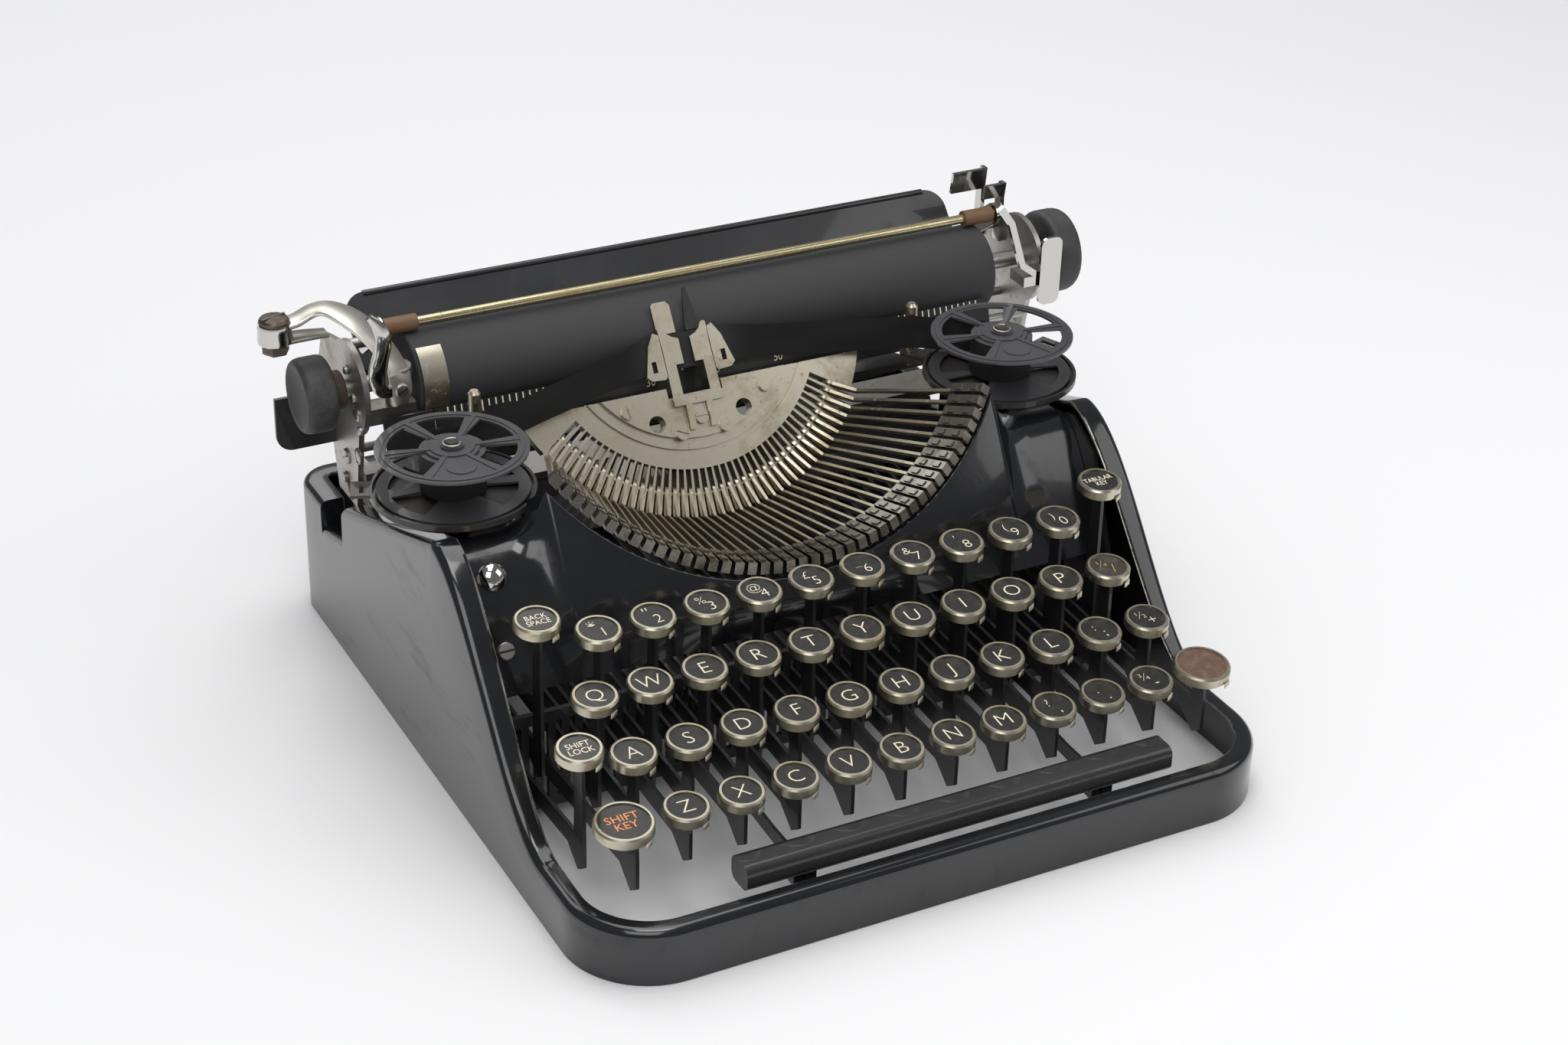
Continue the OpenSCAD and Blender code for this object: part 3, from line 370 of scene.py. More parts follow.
@dataclass(frozen=True)
class Enamel(Finish):
    """Baked black enamel with haze, fine scratches, dust and worn edges."""

    colour: Colour = (0.006, 0.0065, 0.0075)
    gloss: float = 0.1
    haze: float = 0.1
    worn: bool = False
    bare: Colour = (0.36, 0.33, 0.28)
    dust: Colour = (0.11, 0.1, 0.09)

    def wire(self, g: Graph) -> Dict[str, Any]:
        """Wires haze, rubbed streaks, specks of dust and chipped edges.

        Args:
            g: Graph to build in.

        Returns:
            Values of the shader by input name.
        """
        cloud = g.noise(scale=22.0, detail=5.0, rough=0.65)
        rub = g.noise(scale=90.0, detail=3.0, rough=0.7, stretch=(1.0, 0.25, 1.0)).sharpen(0.56, 0.74)
        specks = g.noise(scale=1900.0, detail=2.0, rough=0.5).sharpen(0.71, 0.77)
        colour = g.mix(cloud.sharpen(0.35, 0.75) * 0.5, self.colour, tone(self.colour, 2.2))
        colour = g.mix(specks * 0.35, colour, self.dust)
        rough = self.gloss + cloud * self.haze + rub * 0.1 + specks * 0.2
        peel = g.noise(scale=420.0, detail=2.0, rough=0.5)
        metal: Any = 0.0
        coat: Any = 0.5 - rub * 0.25
        if self.worn:
            edge = g.layer(Layer.WEAR)
            ragged = (g.noise(scale=260.0, detail=4.0, rough=0.7) - 0.5) * 0.55
            chip = (edge + ragged).sharpen(0.86, 0.96)
            colour = g.mix(chip, colour, self.bare)
            metal = chip * 0.9
            rough = rough + chip * 0.18
            coat = coat * (1.0 - chip)
        return {"Base Color": colour, "Roughness": rough, "Metallic": metal, "Coat Weight": coat,
                "Specular IOR Level": 0.5, "Coat Roughness": 0.04,
                "Normal": g.bump(peel, strength=0.12, depth=0.00012)}


@dataclass(frozen=True)
class Plating(Finish):
    """Nickel, chrome, steel or brass with tarnish, rust spots and fine brushing."""

    colour: Colour = (0.6, 0.55, 0.44)
    tarnish: Colour = (0.3, 0.22, 0.11)
    amount: float = 0.4
    gloss: float = 0.26
    spots: float = 0.3
    rust: Colour = (0.07, 0.042, 0.022)

    def wire(self, g: Graph) -> Dict[str, Any]:
        """Wires stains, rust spots and fine grain.

        Args:
            g: Graph to build in.

        Returns:
            Values of the shader by input name.
        """
        cloud = g.noise(scale=60.0, detail=6.0, rough=0.68, warp=0.4)
        spot = g.noise(scale=420.0, detail=4.0, rough=0.62).sharpen(0.6, 0.72)
        grain = g.noise(scale=1500.0, detail=2.0, rough=0.5)
        stain = cloud.sharpen(0.45, 0.72) * self.amount
        pitted = spot * self.spots
        colour = g.mix(stain, self.colour, self.tarnish)
        colour = g.mix(pitted, colour, self.rust)
        return {"Base Color": colour, "Metallic": 1.0 - pitted * 0.75,
                "Roughness": self.gloss + stain * 0.25 + pitted * 0.3 + grain * 0.1,
                "Normal": g.bump(grain + spot * 0.8, strength=0.18, depth=0.00006)}


@dataclass(frozen=True)
class Rubber(Finish):
    """Hard rubber with scuffs and dusty bloom."""

    colour: Colour = (0.026, 0.027, 0.029)
    bloom: Colour = (0.1, 0.1, 0.1)
    scuffs: float = 0.35
    rough: float = 0.5
    along: Point = (0.12, 1.0, 1.0)

    def wire(self, g: Graph) -> Dict[str, Any]:
        """Wires bloom, scuffs along one way and grit.

        Args:
            g: Graph to build in.

        Returns:
            Values of the shader by input name.
        """
        cloud = g.noise(scale=70.0, detail=5.0, rough=0.7)
        scratch = g.noise(scale=700.0, detail=3.0, rough=0.6, warp=0.3, stretch=self.along).sharpen(0.58, 0.7)
        grit = g.noise(scale=900.0, detail=3.0, rough=0.6)
        colour = g.mix(cloud.sharpen(0.4, 0.8) * 0.55, self.colour, self.bloom)
        colour = g.mix(scratch * self.scuffs, colour, self.bloom)
        return {"Base Color": colour, "Roughness": self.rough + cloud * 0.2 + scratch * 0.12,
                "Specular IOR Level": 0.42,
                "Normal": g.bump(grit + scratch * 0.6, strength=0.35, depth=0.00008)}


@dataclass(frozen=True)
class Cloth(Finish):
    """Inked ribbon cloth with a fine weave."""

    colour: Colour = (0.008, 0.008, 0.009)
    lint: Colour = (0.05, 0.05, 0.052)

    def wire(self, g: Graph) -> Dict[str, Any]:
        """Wires uneven ink, weave and lint.

        Args:
            g: Graph to build in.

        Returns:
            Values of the shader by input name.
        """
        run = g.layer(Layer.ALONG)
        cloud = g.noise(scale=160.0, detail=4.0, rough=0.7)
        weave = g.noise(scale=5200.0, detail=1.0, rough=0.4)
        ink = g.mix(cloud.sharpen(0.4, 0.75), self.colour, tone(self.colour, 3.2))
        return {"Base Color": g.mix(weave.sharpen(0.45, 0.7) * 0.3 + run * 0.05, ink, self.lint),
                "Roughness": 0.5 + cloud * 0.25, "Sheen Weight": 0.15,
                "Normal": g.bump(weave, strength=0.35, depth=0.00005)}


@dataclass(frozen=True)
class Card(Finish):
    """Printed key card under its clear cover."""

    colour: Colour = (0.008, 0.0078, 0.007)
    worn: Colour = (0.05, 0.045, 0.034)
    age: float = 0.35
    fleck: Colour = (0.4, 0.31, 0.13)
    scrape: Colour = (0.2, 0.19, 0.16)

    def wire(self, g: Graph) -> Dict[str, Any]:
        """Wires yellowing, flecks and scratches of the cover.

        Args:
            g: Graph to build in.

        Returns:
            Values of the shader by input name.
        """
        cloud = g.noise(scale=330.0, detail=5.0, rough=0.7)
        scratch = g.noise(scale=1300.0, detail=3.0, rough=0.6, warp=0.4, stretch=(1.0, 0.2, 1.0))
        scratch = scratch.sharpen(0.6, 0.72)
        colour = g.mix(cloud.sharpen(0.45, 0.75) * self.age, self.colour, self.worn)
        flecks = g.noise(scale=3100.0, detail=2.0, rough=0.5).sharpen(0.66, 0.72) * cloud.sharpen(0.4, 0.6)
        colour = g.mix(flecks * 0.5, colour, self.fleck)
        return {"Base Color": g.mix(scratch * 0.12, colour, self.scrape),
                "Roughness": 0.3 + cloud * 0.18 + scratch * 0.15, "Coat Weight": 0.5 - scratch * 0.3,
                "Coat Roughness": 0.12}


@dataclass(frozen=True)
class Ink(Finish):
    """Printed legend, scale figure or tick."""

    colour: Colour = (0.68, 0.62, 0.46)
    fade: float = 0.35

    def wire(self, g: Graph) -> Dict[str, Any]:
        """Wires faded print.

        Args:
            g: Graph to build in.

        Returns:
            Values of the shader by input name.
        """
        cloud = g.noise(scale=700.0, detail=4.0, rough=0.7).sharpen(0.45, 0.8)
        return {"Base Color": g.mix(cloud * self.fade, self.colour, tone(self.colour, 0.45)),
                "Roughness": 0.45 + cloud * 0.2, "Coat Weight": 0.3}


@dataclass(frozen=True)
class Paper(Finish):
    """Even studio ground."""

    colour: Colour = (0.66, 0.657, 0.652)

    def wire(self, g: Graph) -> Dict[str, Any]:
        """Wires a faint cloud.

        Args:
            g: Graph to build in.

        Returns:
            Values of the shader by input name.
        """
        cloud = g.noise(scale=3.0, detail=3.0, rough=0.5)
        return {"Base Color": g.mix(cloud * 0.12, self.colour, tone(self.colour, 0.97)),
                "Roughness": 0.85, "Specular IOR Level": 0.15}


GLOSS = Enamel("enamel_gloss", worn=True)
TABLE = Enamel("enamel_table", colour=(0.012, 0.0125, 0.0135), gloss=0.24, haze=0.2)
BLACK = Enamel("black_lacquer", colour=(0.01, 0.0102, 0.0108), gloss=0.3, haze=0.22)
BROWNED = Enamel("browned_black", colour=(0.017, 0.0145, 0.0125), gloss=0.42, haze=0.2)
SPOOL = Enamel("spool_grey", colour=(0.03, 0.03, 0.032), gloss=0.36, haze=0.2)
NICKEL = Plating("nickel_aged", amount=0.62, spots=0.5, gloss=0.28)
BAR = Plating("nickel_bar", colour=(0.55, 0.5, 0.4), amount=0.75, spots=0.55, gloss=0.3)
SLUG = Plating("slug_steel", colour=(0.3, 0.28, 0.24), tarnish=(0.07, 0.056, 0.04),
               amount=0.85, spots=0.75, gloss=0.2)
RING = Plating("ring_nickel", colour=(0.6, 0.56, 0.44), tarnish=(0.32, 0.25, 0.12),
               amount=0.6, spots=0.3, gloss=0.26)
STEEL = Plating("steel_bare", colour=(0.46, 0.45, 0.42), amount=0.5, spots=0.55, gloss=0.34)
CHROME = Plating("chrome", colour=(0.72, 0.71, 0.69), tarnish=(0.4, 0.34, 0.24),
                 amount=0.25, spots=0.2, gloss=0.24)
BRASS = Plating("bail_brass", colour=(0.62, 0.53, 0.33), tarnish=(0.28, 0.2, 0.09),
                amount=0.5, spots=0.3, gloss=0.22)
BLADE = Plating("chrome_worn", colour=(0.82, 0.79, 0.72), tarnish=(0.55, 0.47, 0.33),
                amount=0.4, spots=0.15, gloss=0.36)
BRONZE = Plating("screw_brown", colour=(0.2, 0.165, 0.135), tarnish=(0.08, 0.06, 0.045),
                 amount=0.7, spots=0.5, gloss=0.36)
COPPER = Rubber("sleeve_brown", colour=(0.12, 0.062, 0.028), bloom=(0.2, 0.12, 0.06), rough=0.36)
ROLLER = Rubber("platen_rubber")
KNOB = Rubber("knob_rubber", colour=(0.03, 0.0295, 0.029), bloom=(0.1, 0.094, 0.085),
              scuffs=0.3, rough=0.42, along=(1.0, 1.0, 1.0))
COLLAR = Rubber("collar_brown", colour=(0.05, 0.032, 0.022), bloom=(0.09, 0.06, 0.045))
CLOTH = Cloth("ribbon_cloth")
CARD = Card("key_card")
BROWN_CARD = Card("key_card_brown", colour=(0.11, 0.055, 0.035), worn=(0.2, 0.13, 0.09), age=0.6)
DULL_CARD = Card("key_card_dull", colour=(0.03, 0.025, 0.02), worn=(0.1, 0.085, 0.06), age=0.6)
CREAM = Ink("legend_cream")
ORANGE = Ink("legend_orange", colour=(0.75, 0.24, 0.05))
YELLOW = Ink("legend_yellow", colour=(0.6, 0.42, 0.1))
FLOOR = Paper("studio_paper")


class Maker:
    """Makes meshes from points in machine millimetres."""

    # Printed letters: line spacing, thickness in metres, and what the strokes of large ones lose for
    # each millimetre of their height.
    LINE_SPACE = 0.85
    PRINT_T = 0.00003
    THINNING = 0.000017
    LARGE = 5

    @staticmethod
    def show(name: str, data: Any) -> bpy.types.Object:
        """Puts new data into the scene.

        Args:
            name: Name of the object.
            data: A mesh, curve, light or camera.

        Returns:
            The new object.
        """
        made = bpy.data.objects.new(name, data)
        bpy.context.collection.objects.link(made)
        return made

    @staticmethod
    def mark(made: bpy.types.Object, layer: Layer, values: Sequence[float]) -> None:
        """Stores a value for each point, which materials read.

        Args:
            made: The mesh.
            layer: Attribute that holds the values.
            values: One value for each point.
        """
        made.data.attributes.new(layer.value, "FLOAT", "POINT").data.foreach_set("value", values)

    @staticmethod
    def mesh(name: str, points: Sequence[Sequence[float]], faces: Sequence[Face], finish: Finish,
             crease: float = 35.0) -> bpy.types.Object:
        """Makes one mesh object.

        Args:
            name: Name of the piece.
            points: Points in machine millimetres.
            faces: Faces by point number.
            finish: Finish of the piece.
            crease: Angle in degrees above which an edge stays sharp.

        Returns:
            The new object.
        """
        data = bpy.data.meshes.new(name)
        data.from_pydata([metres(*p) for p in points], [], list(faces))
        made = Maker.show(name, data)
        data.materials.append(finish.material())
        work = bmesh.new()
        work.from_mesh(data)
        bmesh.ops.recalc_face_normals(work, faces=work.faces)
        work.to_mesh(data)
        work.free()
        data.polygons.foreach_set("use_smooth", [True] * len(data.polygons))
        data.set_sharp_from_angle(angle=math.radians(crease))
        return made

    @staticmethod
    def rings(rings: Sequence[Sequence[Sequence[float]]], loop: bool, closed: bool = True
              ) -> Tuple[List[Sequence[float]], List[Face]]:
        """Skins a row of rings.

        Args:
            rings: Rings with the same number of points.
            loop: Whether the last ring joins the first.
            closed: Whether each ring is closed.

        Returns:
            Points and faces.
        """
        n, m = len(rings), len(rings[0])
        points = [p for ring in rings for p in ring]
        faces: List[Face] = []
        for i in range(n if loop else n - 1):
            for j in range(m if closed else m - 1):
                k, q = (i + 1) % n, (j + 1) % m
                faces.append((i * m + j, i * m + q, k * m + q, k * m + j))
        if not loop and closed:
            faces.append(tuple(range(m)))
            faces.append(tuple((n - 1) * m + j for j in range(m)))
        return points, faces

    @staticmethod
    def lathe(name: str, profile: Sequence[Tuple[float, float]], centre: Point, axis: Point, finish: Finish,
              steps: int = 40, crease: float = 35.0) -> bpy.types.Object:
        """Turns a profile round an axis.

        Args:
            name: Name of the piece.
            profile: Pairs of radius and height along the axis.
            centre: Foot of the axis, in machine millimetres.
            axis: Direction of the axis.
            finish: Finish of the piece.
            steps: Steps round the axis.
            crease: Angle in degrees above which an edge stays sharp.

        Returns:
            The new object.
        """
        turn = Vector(axis).to_track_quat("Z", "Y").to_matrix()
        foot = Vector(centre)
        rings = []
        for i in range(steps):
            a = 2 * math.pi * i / steps
            c, s = math.cos(a), math.sin(a)
            rings.append([tuple(foot + turn @ Vector((r * c, r * s, h))) for r, h in profile])
        points, faces = Maker.rings(rings, True, False)
        made = Maker.mesh(name, points, faces, finish, crease)
        work = bmesh.new()
        work.from_mesh(made.data)
        bmesh.ops.remove_doubles(work, verts=work.verts, dist=1e-6)
        work.to_mesh(made.data)
        work.free()
        return made

    @staticmethod
    def strip(name: str, path: Sequence[Point], wide: Sequence[Point], width: Sequence[float], thick: float,
              finish: Finish, crease: float = 35.0, bevel: float = 0.0) -> bpy.types.Object:
        """Makes a bent strip of sheet.

        Args:
            name: Name of the piece.
            path: Middle line, in machine millimetres.
            wide: Direction of the width at each point.
            width: Width at each point.
            thick: Thickness.
            finish: Finish of the piece.
            crease: Angle in degrees above which an edge stays sharp.
            bevel: Width of the broken edges.

        Returns:
            The new object.
        """
        rings = []
        for i, p in enumerate(path):
            a, b = Vector(path[max(0, i - 1)]), Vector(path[min(len(path) - 1, i + 1)])
            w = Vector(wide[i]).normalized() * width[i] / 2
            n = (b - a).cross(w).normalized() * thick / 2
            c = Vector(p)
            ring = [c - w - n, c + w - n, c + w + n, c - w + n]
            if bevel:
                v, m = w * (1 - 2 * bevel / width[i]), n * (1 - 2 * bevel / thick)
                ring = [c - v - n, c + v - n, c + w - m, c + w + m,
                        c + v + n, c - v + n, c - w + m, c - w - m]
            rings.append([tuple(q) for q in ring])
        points, faces = Maker.rings(rings, False)
        return Maker.mesh(name, points, faces, finish, crease)

    @staticmethod
    def line(name: str, ends: Sequence[Point], wide: Point, width: float, thick: float, finish: Finish
             ) -> bpy.types.Object:
        """Makes a straight strip of even width.

        Args:
            name: Name of the piece.
            ends: Its two ends, in machine millimetres.
            wide: Direction of the width.
            width: Width.
            thick: Thickness.
            finish: Finish of the piece.

        Returns:
            The new object.
        """
        return Maker.strip(name, ends, [wide] * 2, [width] * 2, thick, finish)

    @staticmethod
    def flow(rows: Sequence[Sequence[float]], steps: int = 8) -> List[Tuple[float, ...]]:
        """Runs a smooth curve through rows of numbers.

        Args:
            rows: Rows of equal length.
            steps: Steps between two rows.

        Returns:
            The finer rows.
        """
        last, out = len(rows) - 1, []
        for i in range(last):
            near = zip(rows[max(0, i - 1)], rows[i], rows[i + 1], rows[min(last, i + 2)])
            bends = [(2 * b, c - a, 2 * a - 5 * b + 4 * c - d, 3 * b - a - 3 * c + d) for a, b, c, d in near]
            for k in range(steps):
                t = k / steps
                out.append(tuple(0.5 * (q + r * t + u * t * t + v * t ** 3) for q, r, u, v in bends))
        return out + [tuple(rows[-1])]

    @staticmethod
    def blade(name: str, rows: Sequence[Sequence[float]], thick: float, finish: Finish) -> bpy.types.Object:
        """Makes a smoothly bent strip with broken edges.

        Args:
            name: Name of the piece.
            rows: Rows of place, direction of the width and width.
            thick: Thickness.
            finish: Finish of the piece.

        Returns:
            The new object.
        """
        fine = Maker.flow(rows)
        path, wide, width = [r[:3] for r in fine], [r[3:6] for r in fine], [r[6] for r in fine]
        return Maker.strip(name, path, wide, width, thick, finish, crease=50.0, bevel=0.35)

    @staticmethod
    def join(name: str, made: Sequence[bpy.types.Object]) -> bpy.types.Object:
        """Joins meshes into one piece, keeping their materials.

        Args:
            name: Name of the joined piece.
            made: Meshes to join.

        Returns:
            The joined object.
        """
        work = bmesh.new()
        data = bpy.data.meshes.new(name)
        for part in made:
            bpy.context.view_layer.update()
            extra = part.data.copy()
            extra.transform(part.matrix_world)
            shift = []
            for m in part.data.materials:
                if m.name not in data.materials:
                    data.materials.append(m)
                shift.append(data.materials.find(m.name))
            first = len(work.faces)
            work.from_mesh(extra)
            work.faces.ensure_lookup_table()
            for f in work.faces[first:]:
                f.material_index = shift[f.material_index] if shift else 0
            old = part.data
            bpy.data.objects.remove(part)
            bpy.data.meshes.remove(extra)
            if old.users == 0:
                bpy.data.meshes.remove(old)
        work.to_mesh(data)
        work.free()
        return Maker.show(name, data)

    @staticmethod
    def words(name: str, text: str, place: Matrix, size: float, finish: Finish, narrow: float = 1.0
              ) -> bpy.types.Object:
        """Makes flat printed letters.

        Args:
            name: Name of the piece.
            text: Letters or figures.
            place: Place and turn of the text's middle, in the row frame.
            size: Height of the letters in millimetres.
            finish: Finish of the letters.
            narrow: Width of the letters against normal.

        Returns:
            The letters as a mesh.
        """
        curve = bpy.data.curves.new(name + "_curve", "FONT")
        curve.body = text
        curve.align_x = "CENTER"
        curve.align_y = "CENTER"
        curve.size = size / MM
        curve.space_line = Maker.LINE_SPACE
        curve.resolution_u = 3
        curve.offset = -Maker.THINNING * size if size > Maker.LARGE else 0.0
        curve.extrude = Maker.PRINT_T
        maker = Maker.show(name + "_maker", curve)
        maker.matrix_world = place @ Matrix.Diagonal((narrow, 1.0, 1.0, 1.0))
        bpy.context.view_layer.update()
        data = bpy.data.meshes.new_from_object(maker.evaluated_get(bpy.context.evaluated_depsgraph_get()))
        data.transform(maker.matrix_world)
        bpy.data.objects.remove(maker)
        bpy.data.curves.remove(curve)
        data.name = name
        data.materials.clear()
        data.materials.append(finish.material())
        return Maker.show(name, data)


@dataclass(frozen=True)
class Zone:
    """Box of a CAD node whose faces share a finish, in machine millimetres."""

    x: Span = EVERY
    y: Span = EVERY
    z: Span = EVERY
    mid: float = 0.0
    both: bool = False
    sideways: float = FAR

    def __call__(self, p: Vector, n: Vector) -> bool:
        """Tells whether a face lies in the box.

        Args:
            p: Middle of the face.
            n: Normal of the face.

        Returns:
            Whether the middle lies inside and the normal isn't too far sideways.
        """
        x = p.x - self.mid
        spans = ((abs(x) if self.both else x, self.x), (p.y, self.y), (p.z, self.z))
        return abs(n.x) < self.sideways and all(low < v < high for v, (low, high) in spans)


def either(*tests: Test) -> Test:
    """Joins tests on a face.

    Args:
        *tests: Tests on a face's middle and normal.

    Returns:
        Test that holds where one of them holds.
    """
    def test(p: Vector, n: Vector) -> bool:
        """Tells whether one of the tests holds."""
        return any(t(p, n) for t in tests)
    return test


class Painter:
    """Gives CAD nodes their finishes, face by face."""

    @staticmethod
    def paint(node: str, base: Finish, rules: Sequence[Rule] = ()) -> None:
        """Paints one node.

        Args:
            node: Name of the CAD node.
            base: Finish of faces that no rule takes.
            rules: Tests on a face's middle and normal, in machine millimetres, with their finishes.
        """
        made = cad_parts[node]
        made.data.materials.clear()
        for finish in [base] + [r[1] for r in rules]:
            made.data.materials.append(finish.material())
        for poly in made.data.polygons:
            mid, way = machine(poly.center), poly.normal
            poly.material_index = next((i + 1 for i, r in enumerate(rules) if r[0](mid, way)), 0)
        LOG.info("painted %s", node)


@dataclass
class Piece(ABC):
    """One sub-assembly of the typewriter."""

    label: str

    @abstractmethod
    def build(self) -> None:
        """Makes or paints the sub-assembly."""

    def ride(self, made: bpy.types.Object, body: Union[Body, str], slot: str) -> bpy.types.Object:
        """Lets a piece move with a body.

        Args:
            made: The piece.
            body: Body that it rides on.
            slot: Not used.

        Returns:
            The piece.
        """
        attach(made, body.value if isinstance(body, Body) else body)
        LOG.info("%s: made %s", self.label, made.name)
        return made



@dataclass
class Casing(Piece):
    """Pressed casing with its rolled edge."""

    label: str = "casing"
    half_w: float = 125.0
    depth: float = 269.0
    wall: float = 1.5
    rail_h: float = 20.0
    shoulder_h: float = 92.0
    rear_h: float = 52.0
    corner_r: float = 29.0
    corner_steps: int = 24
    rear_r: float = 12.0
    rear_steps: int = 12
    rear_y: float = 246.0
    rise_y: float = 46.0
    rise_run: float = 86.0
    rise_steps: int = 60
    peak_y: float = 136.0
    peak_drop: float = 2.0
    fall: float = 0.362
    fall_steps: int = 12
    roll: float = 3.0
    roll_steps: int = 8
    band: float = 9.0
    rail_band: float = 6.5
    notch: Tuple[float, float, float, float] = (218.5, 240.5, 48.0, 42.0)
    notch_edge: float = 0.3

    def height(self, y: float) -> float:
        """Gives the height of the top edge.

        Args:
            y: Distance from the front rail.

        Returns:
            Height in millimetres.
        """
        rise = self.rail_h + (self.shoulder_h - self.rail_h) * smooth((y - self.rise_y) / self.rise_run)
        fall = max(self.rear_h, self.shoulder_h - self.peak_drop - self.fall * (y - self.peak_y))
        front, back, front_z, back_z = self.notch
        if front - 0.1 < y < back + 0.1:
            return front_z + (back_z - front_z) * (y - front) / (back - front)
        return min(rise, fall)

    def plan(self) -> List[Tuple[float, float, float, float]]:
        """Gives the plan's points with their outward directions.

        Returns:
            Points round the casing, from the middle of the rail.
        """
        w, c, r = self.half_w, self.corner_r, self.rear_r
        half: List[Tuple[float, float, float, float]] = [(w * 0.0, 0, 0, -1), (w * 0.4, 0, 0, -1)]
        for i in range(self.corner_steps + 1):
            a = math.pi / 2 * i / self.corner_steps
            half.append((w - c + c * math.sin(a), c - c * math.cos(a), math.sin(a), -math.cos(a)))
        front, back, peak = self.notch[0], self.notch[1], self.peak_y
        ys = [c + (peak - c) * i / self.rise_steps for i in range(1, self.rise_steps + 1)]
        run = front - self.notch_edge - peak
        ys += [peak + run * i / self.fall_steps for i in range(1, self.fall_steps + 1)]
        ys += [front, (front + back) / 2, back, back + self.notch_edge, self.rear_y]
        half += [(w, y, 1, 0) for y in ys]
        for i in range(self.rear_steps + 1):
            a = math.pi / 2 * i / self.rear_steps
            half.append((w - r + r * math.cos(a), self.depth - r + r * math.sin(a), math.cos(a), math.sin(a)))
        half.append((0, self.depth, 0, 1))
        return half + [(-p[0], p[1], -p[2], p[3]) for p in half[-2:0:-1]]

    def section(self, h: float, b: float) -> List[Tuple[float, float, float]]:
        """Gives the wall's section.

        Args:
            h: Height of the top edge.
            b: Width of the top band.

        Returns:
            Triples of inward distance, height and wear.
        """
        r, t = self.roll, self.wall
        cut = [(0.25, 0.0, 0.75), (0.0, 0.25, 0.7), (0.0, h * 0.5, 0.2), (0.0, h - r, 0.35)]
        for i in range(1, self.roll_steps + 1):
            a = math.pi / 2 * i / self.roll_steps
            cut.append((r * (1 - math.cos(a)), h - r + r * math.sin(a), 0.3 + 0.28 * math.sin(2 * a)))
        return cut + [(b - 1.2, h, 0.5), (b - 0.35, h - 0.05, 0.9), (b, h - 0.4, 1.0), (b, h - t, 0.6),
                      (t, h - t, 0.0), (t, 0.0, 0.3)]

    def build(self) -> None:
        """Makes the shell with its worn edges."""
        rings, wear = [], []
        wide_run = self.rise_y + self.rise_run - self.corner_r
        for x, y, nx, ny in self.plan():
            wider = smooth((y - self.corner_r) / wide_run)
            cut = self.section(self.height(y), self.rail_band + (self.band - self.rail_band) * wider)
            rings.append([(x - nx * d, y - ny * d, z) for d, z, _ in cut])
            wear += [v for _, _, v in cut]
        points, faces = Maker.rings(rings, True)
        made = Maker.mesh("casing_shell", points, faces, GLOSS, 38.0)
        Maker.mark(made, Layer.WEAR, wear)
        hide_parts("casing")
        self.ride(made, Body.FRAME, "enamel")


@dataclass
class Basket:
    """Geometry of the slanted segment."""

    slant: float = SLANT
    y: float = PLATEN_Y - PLATEN_R * math.sin(SLANT)
    z: float = PLATEN_Z + PLATEN_R * math.cos(SLANT)

    def out(self, u: float, v: float, w: float) -> Point:
        """Turns a point of the segment's frame into machine millimetres.

        Args:
            u: Across.
            v: Up the slant.
            w: Out of the face.

        Returns:
            The machine point.
        """
        c, s = math.cos(self.slant), math.sin(self.slant)
        return (u, self.y + v * c - w * s, self.z + v * s + w * c)

    def local(self, p: Vector) -> Vector:
        """Turns a machine point into the segment's frame.

        Args:
            p: Machine point.

        Returns:
            Across, up the slant and out of the face.
        """
        c, s = math.cos(self.slant), math.sin(self.slant)
        dy, dz = p.y - self.y, p.z - self.z
        return Vector((p.x, dy * c + dz * s, -dy * s + dz * c))


BASKET = Basket()


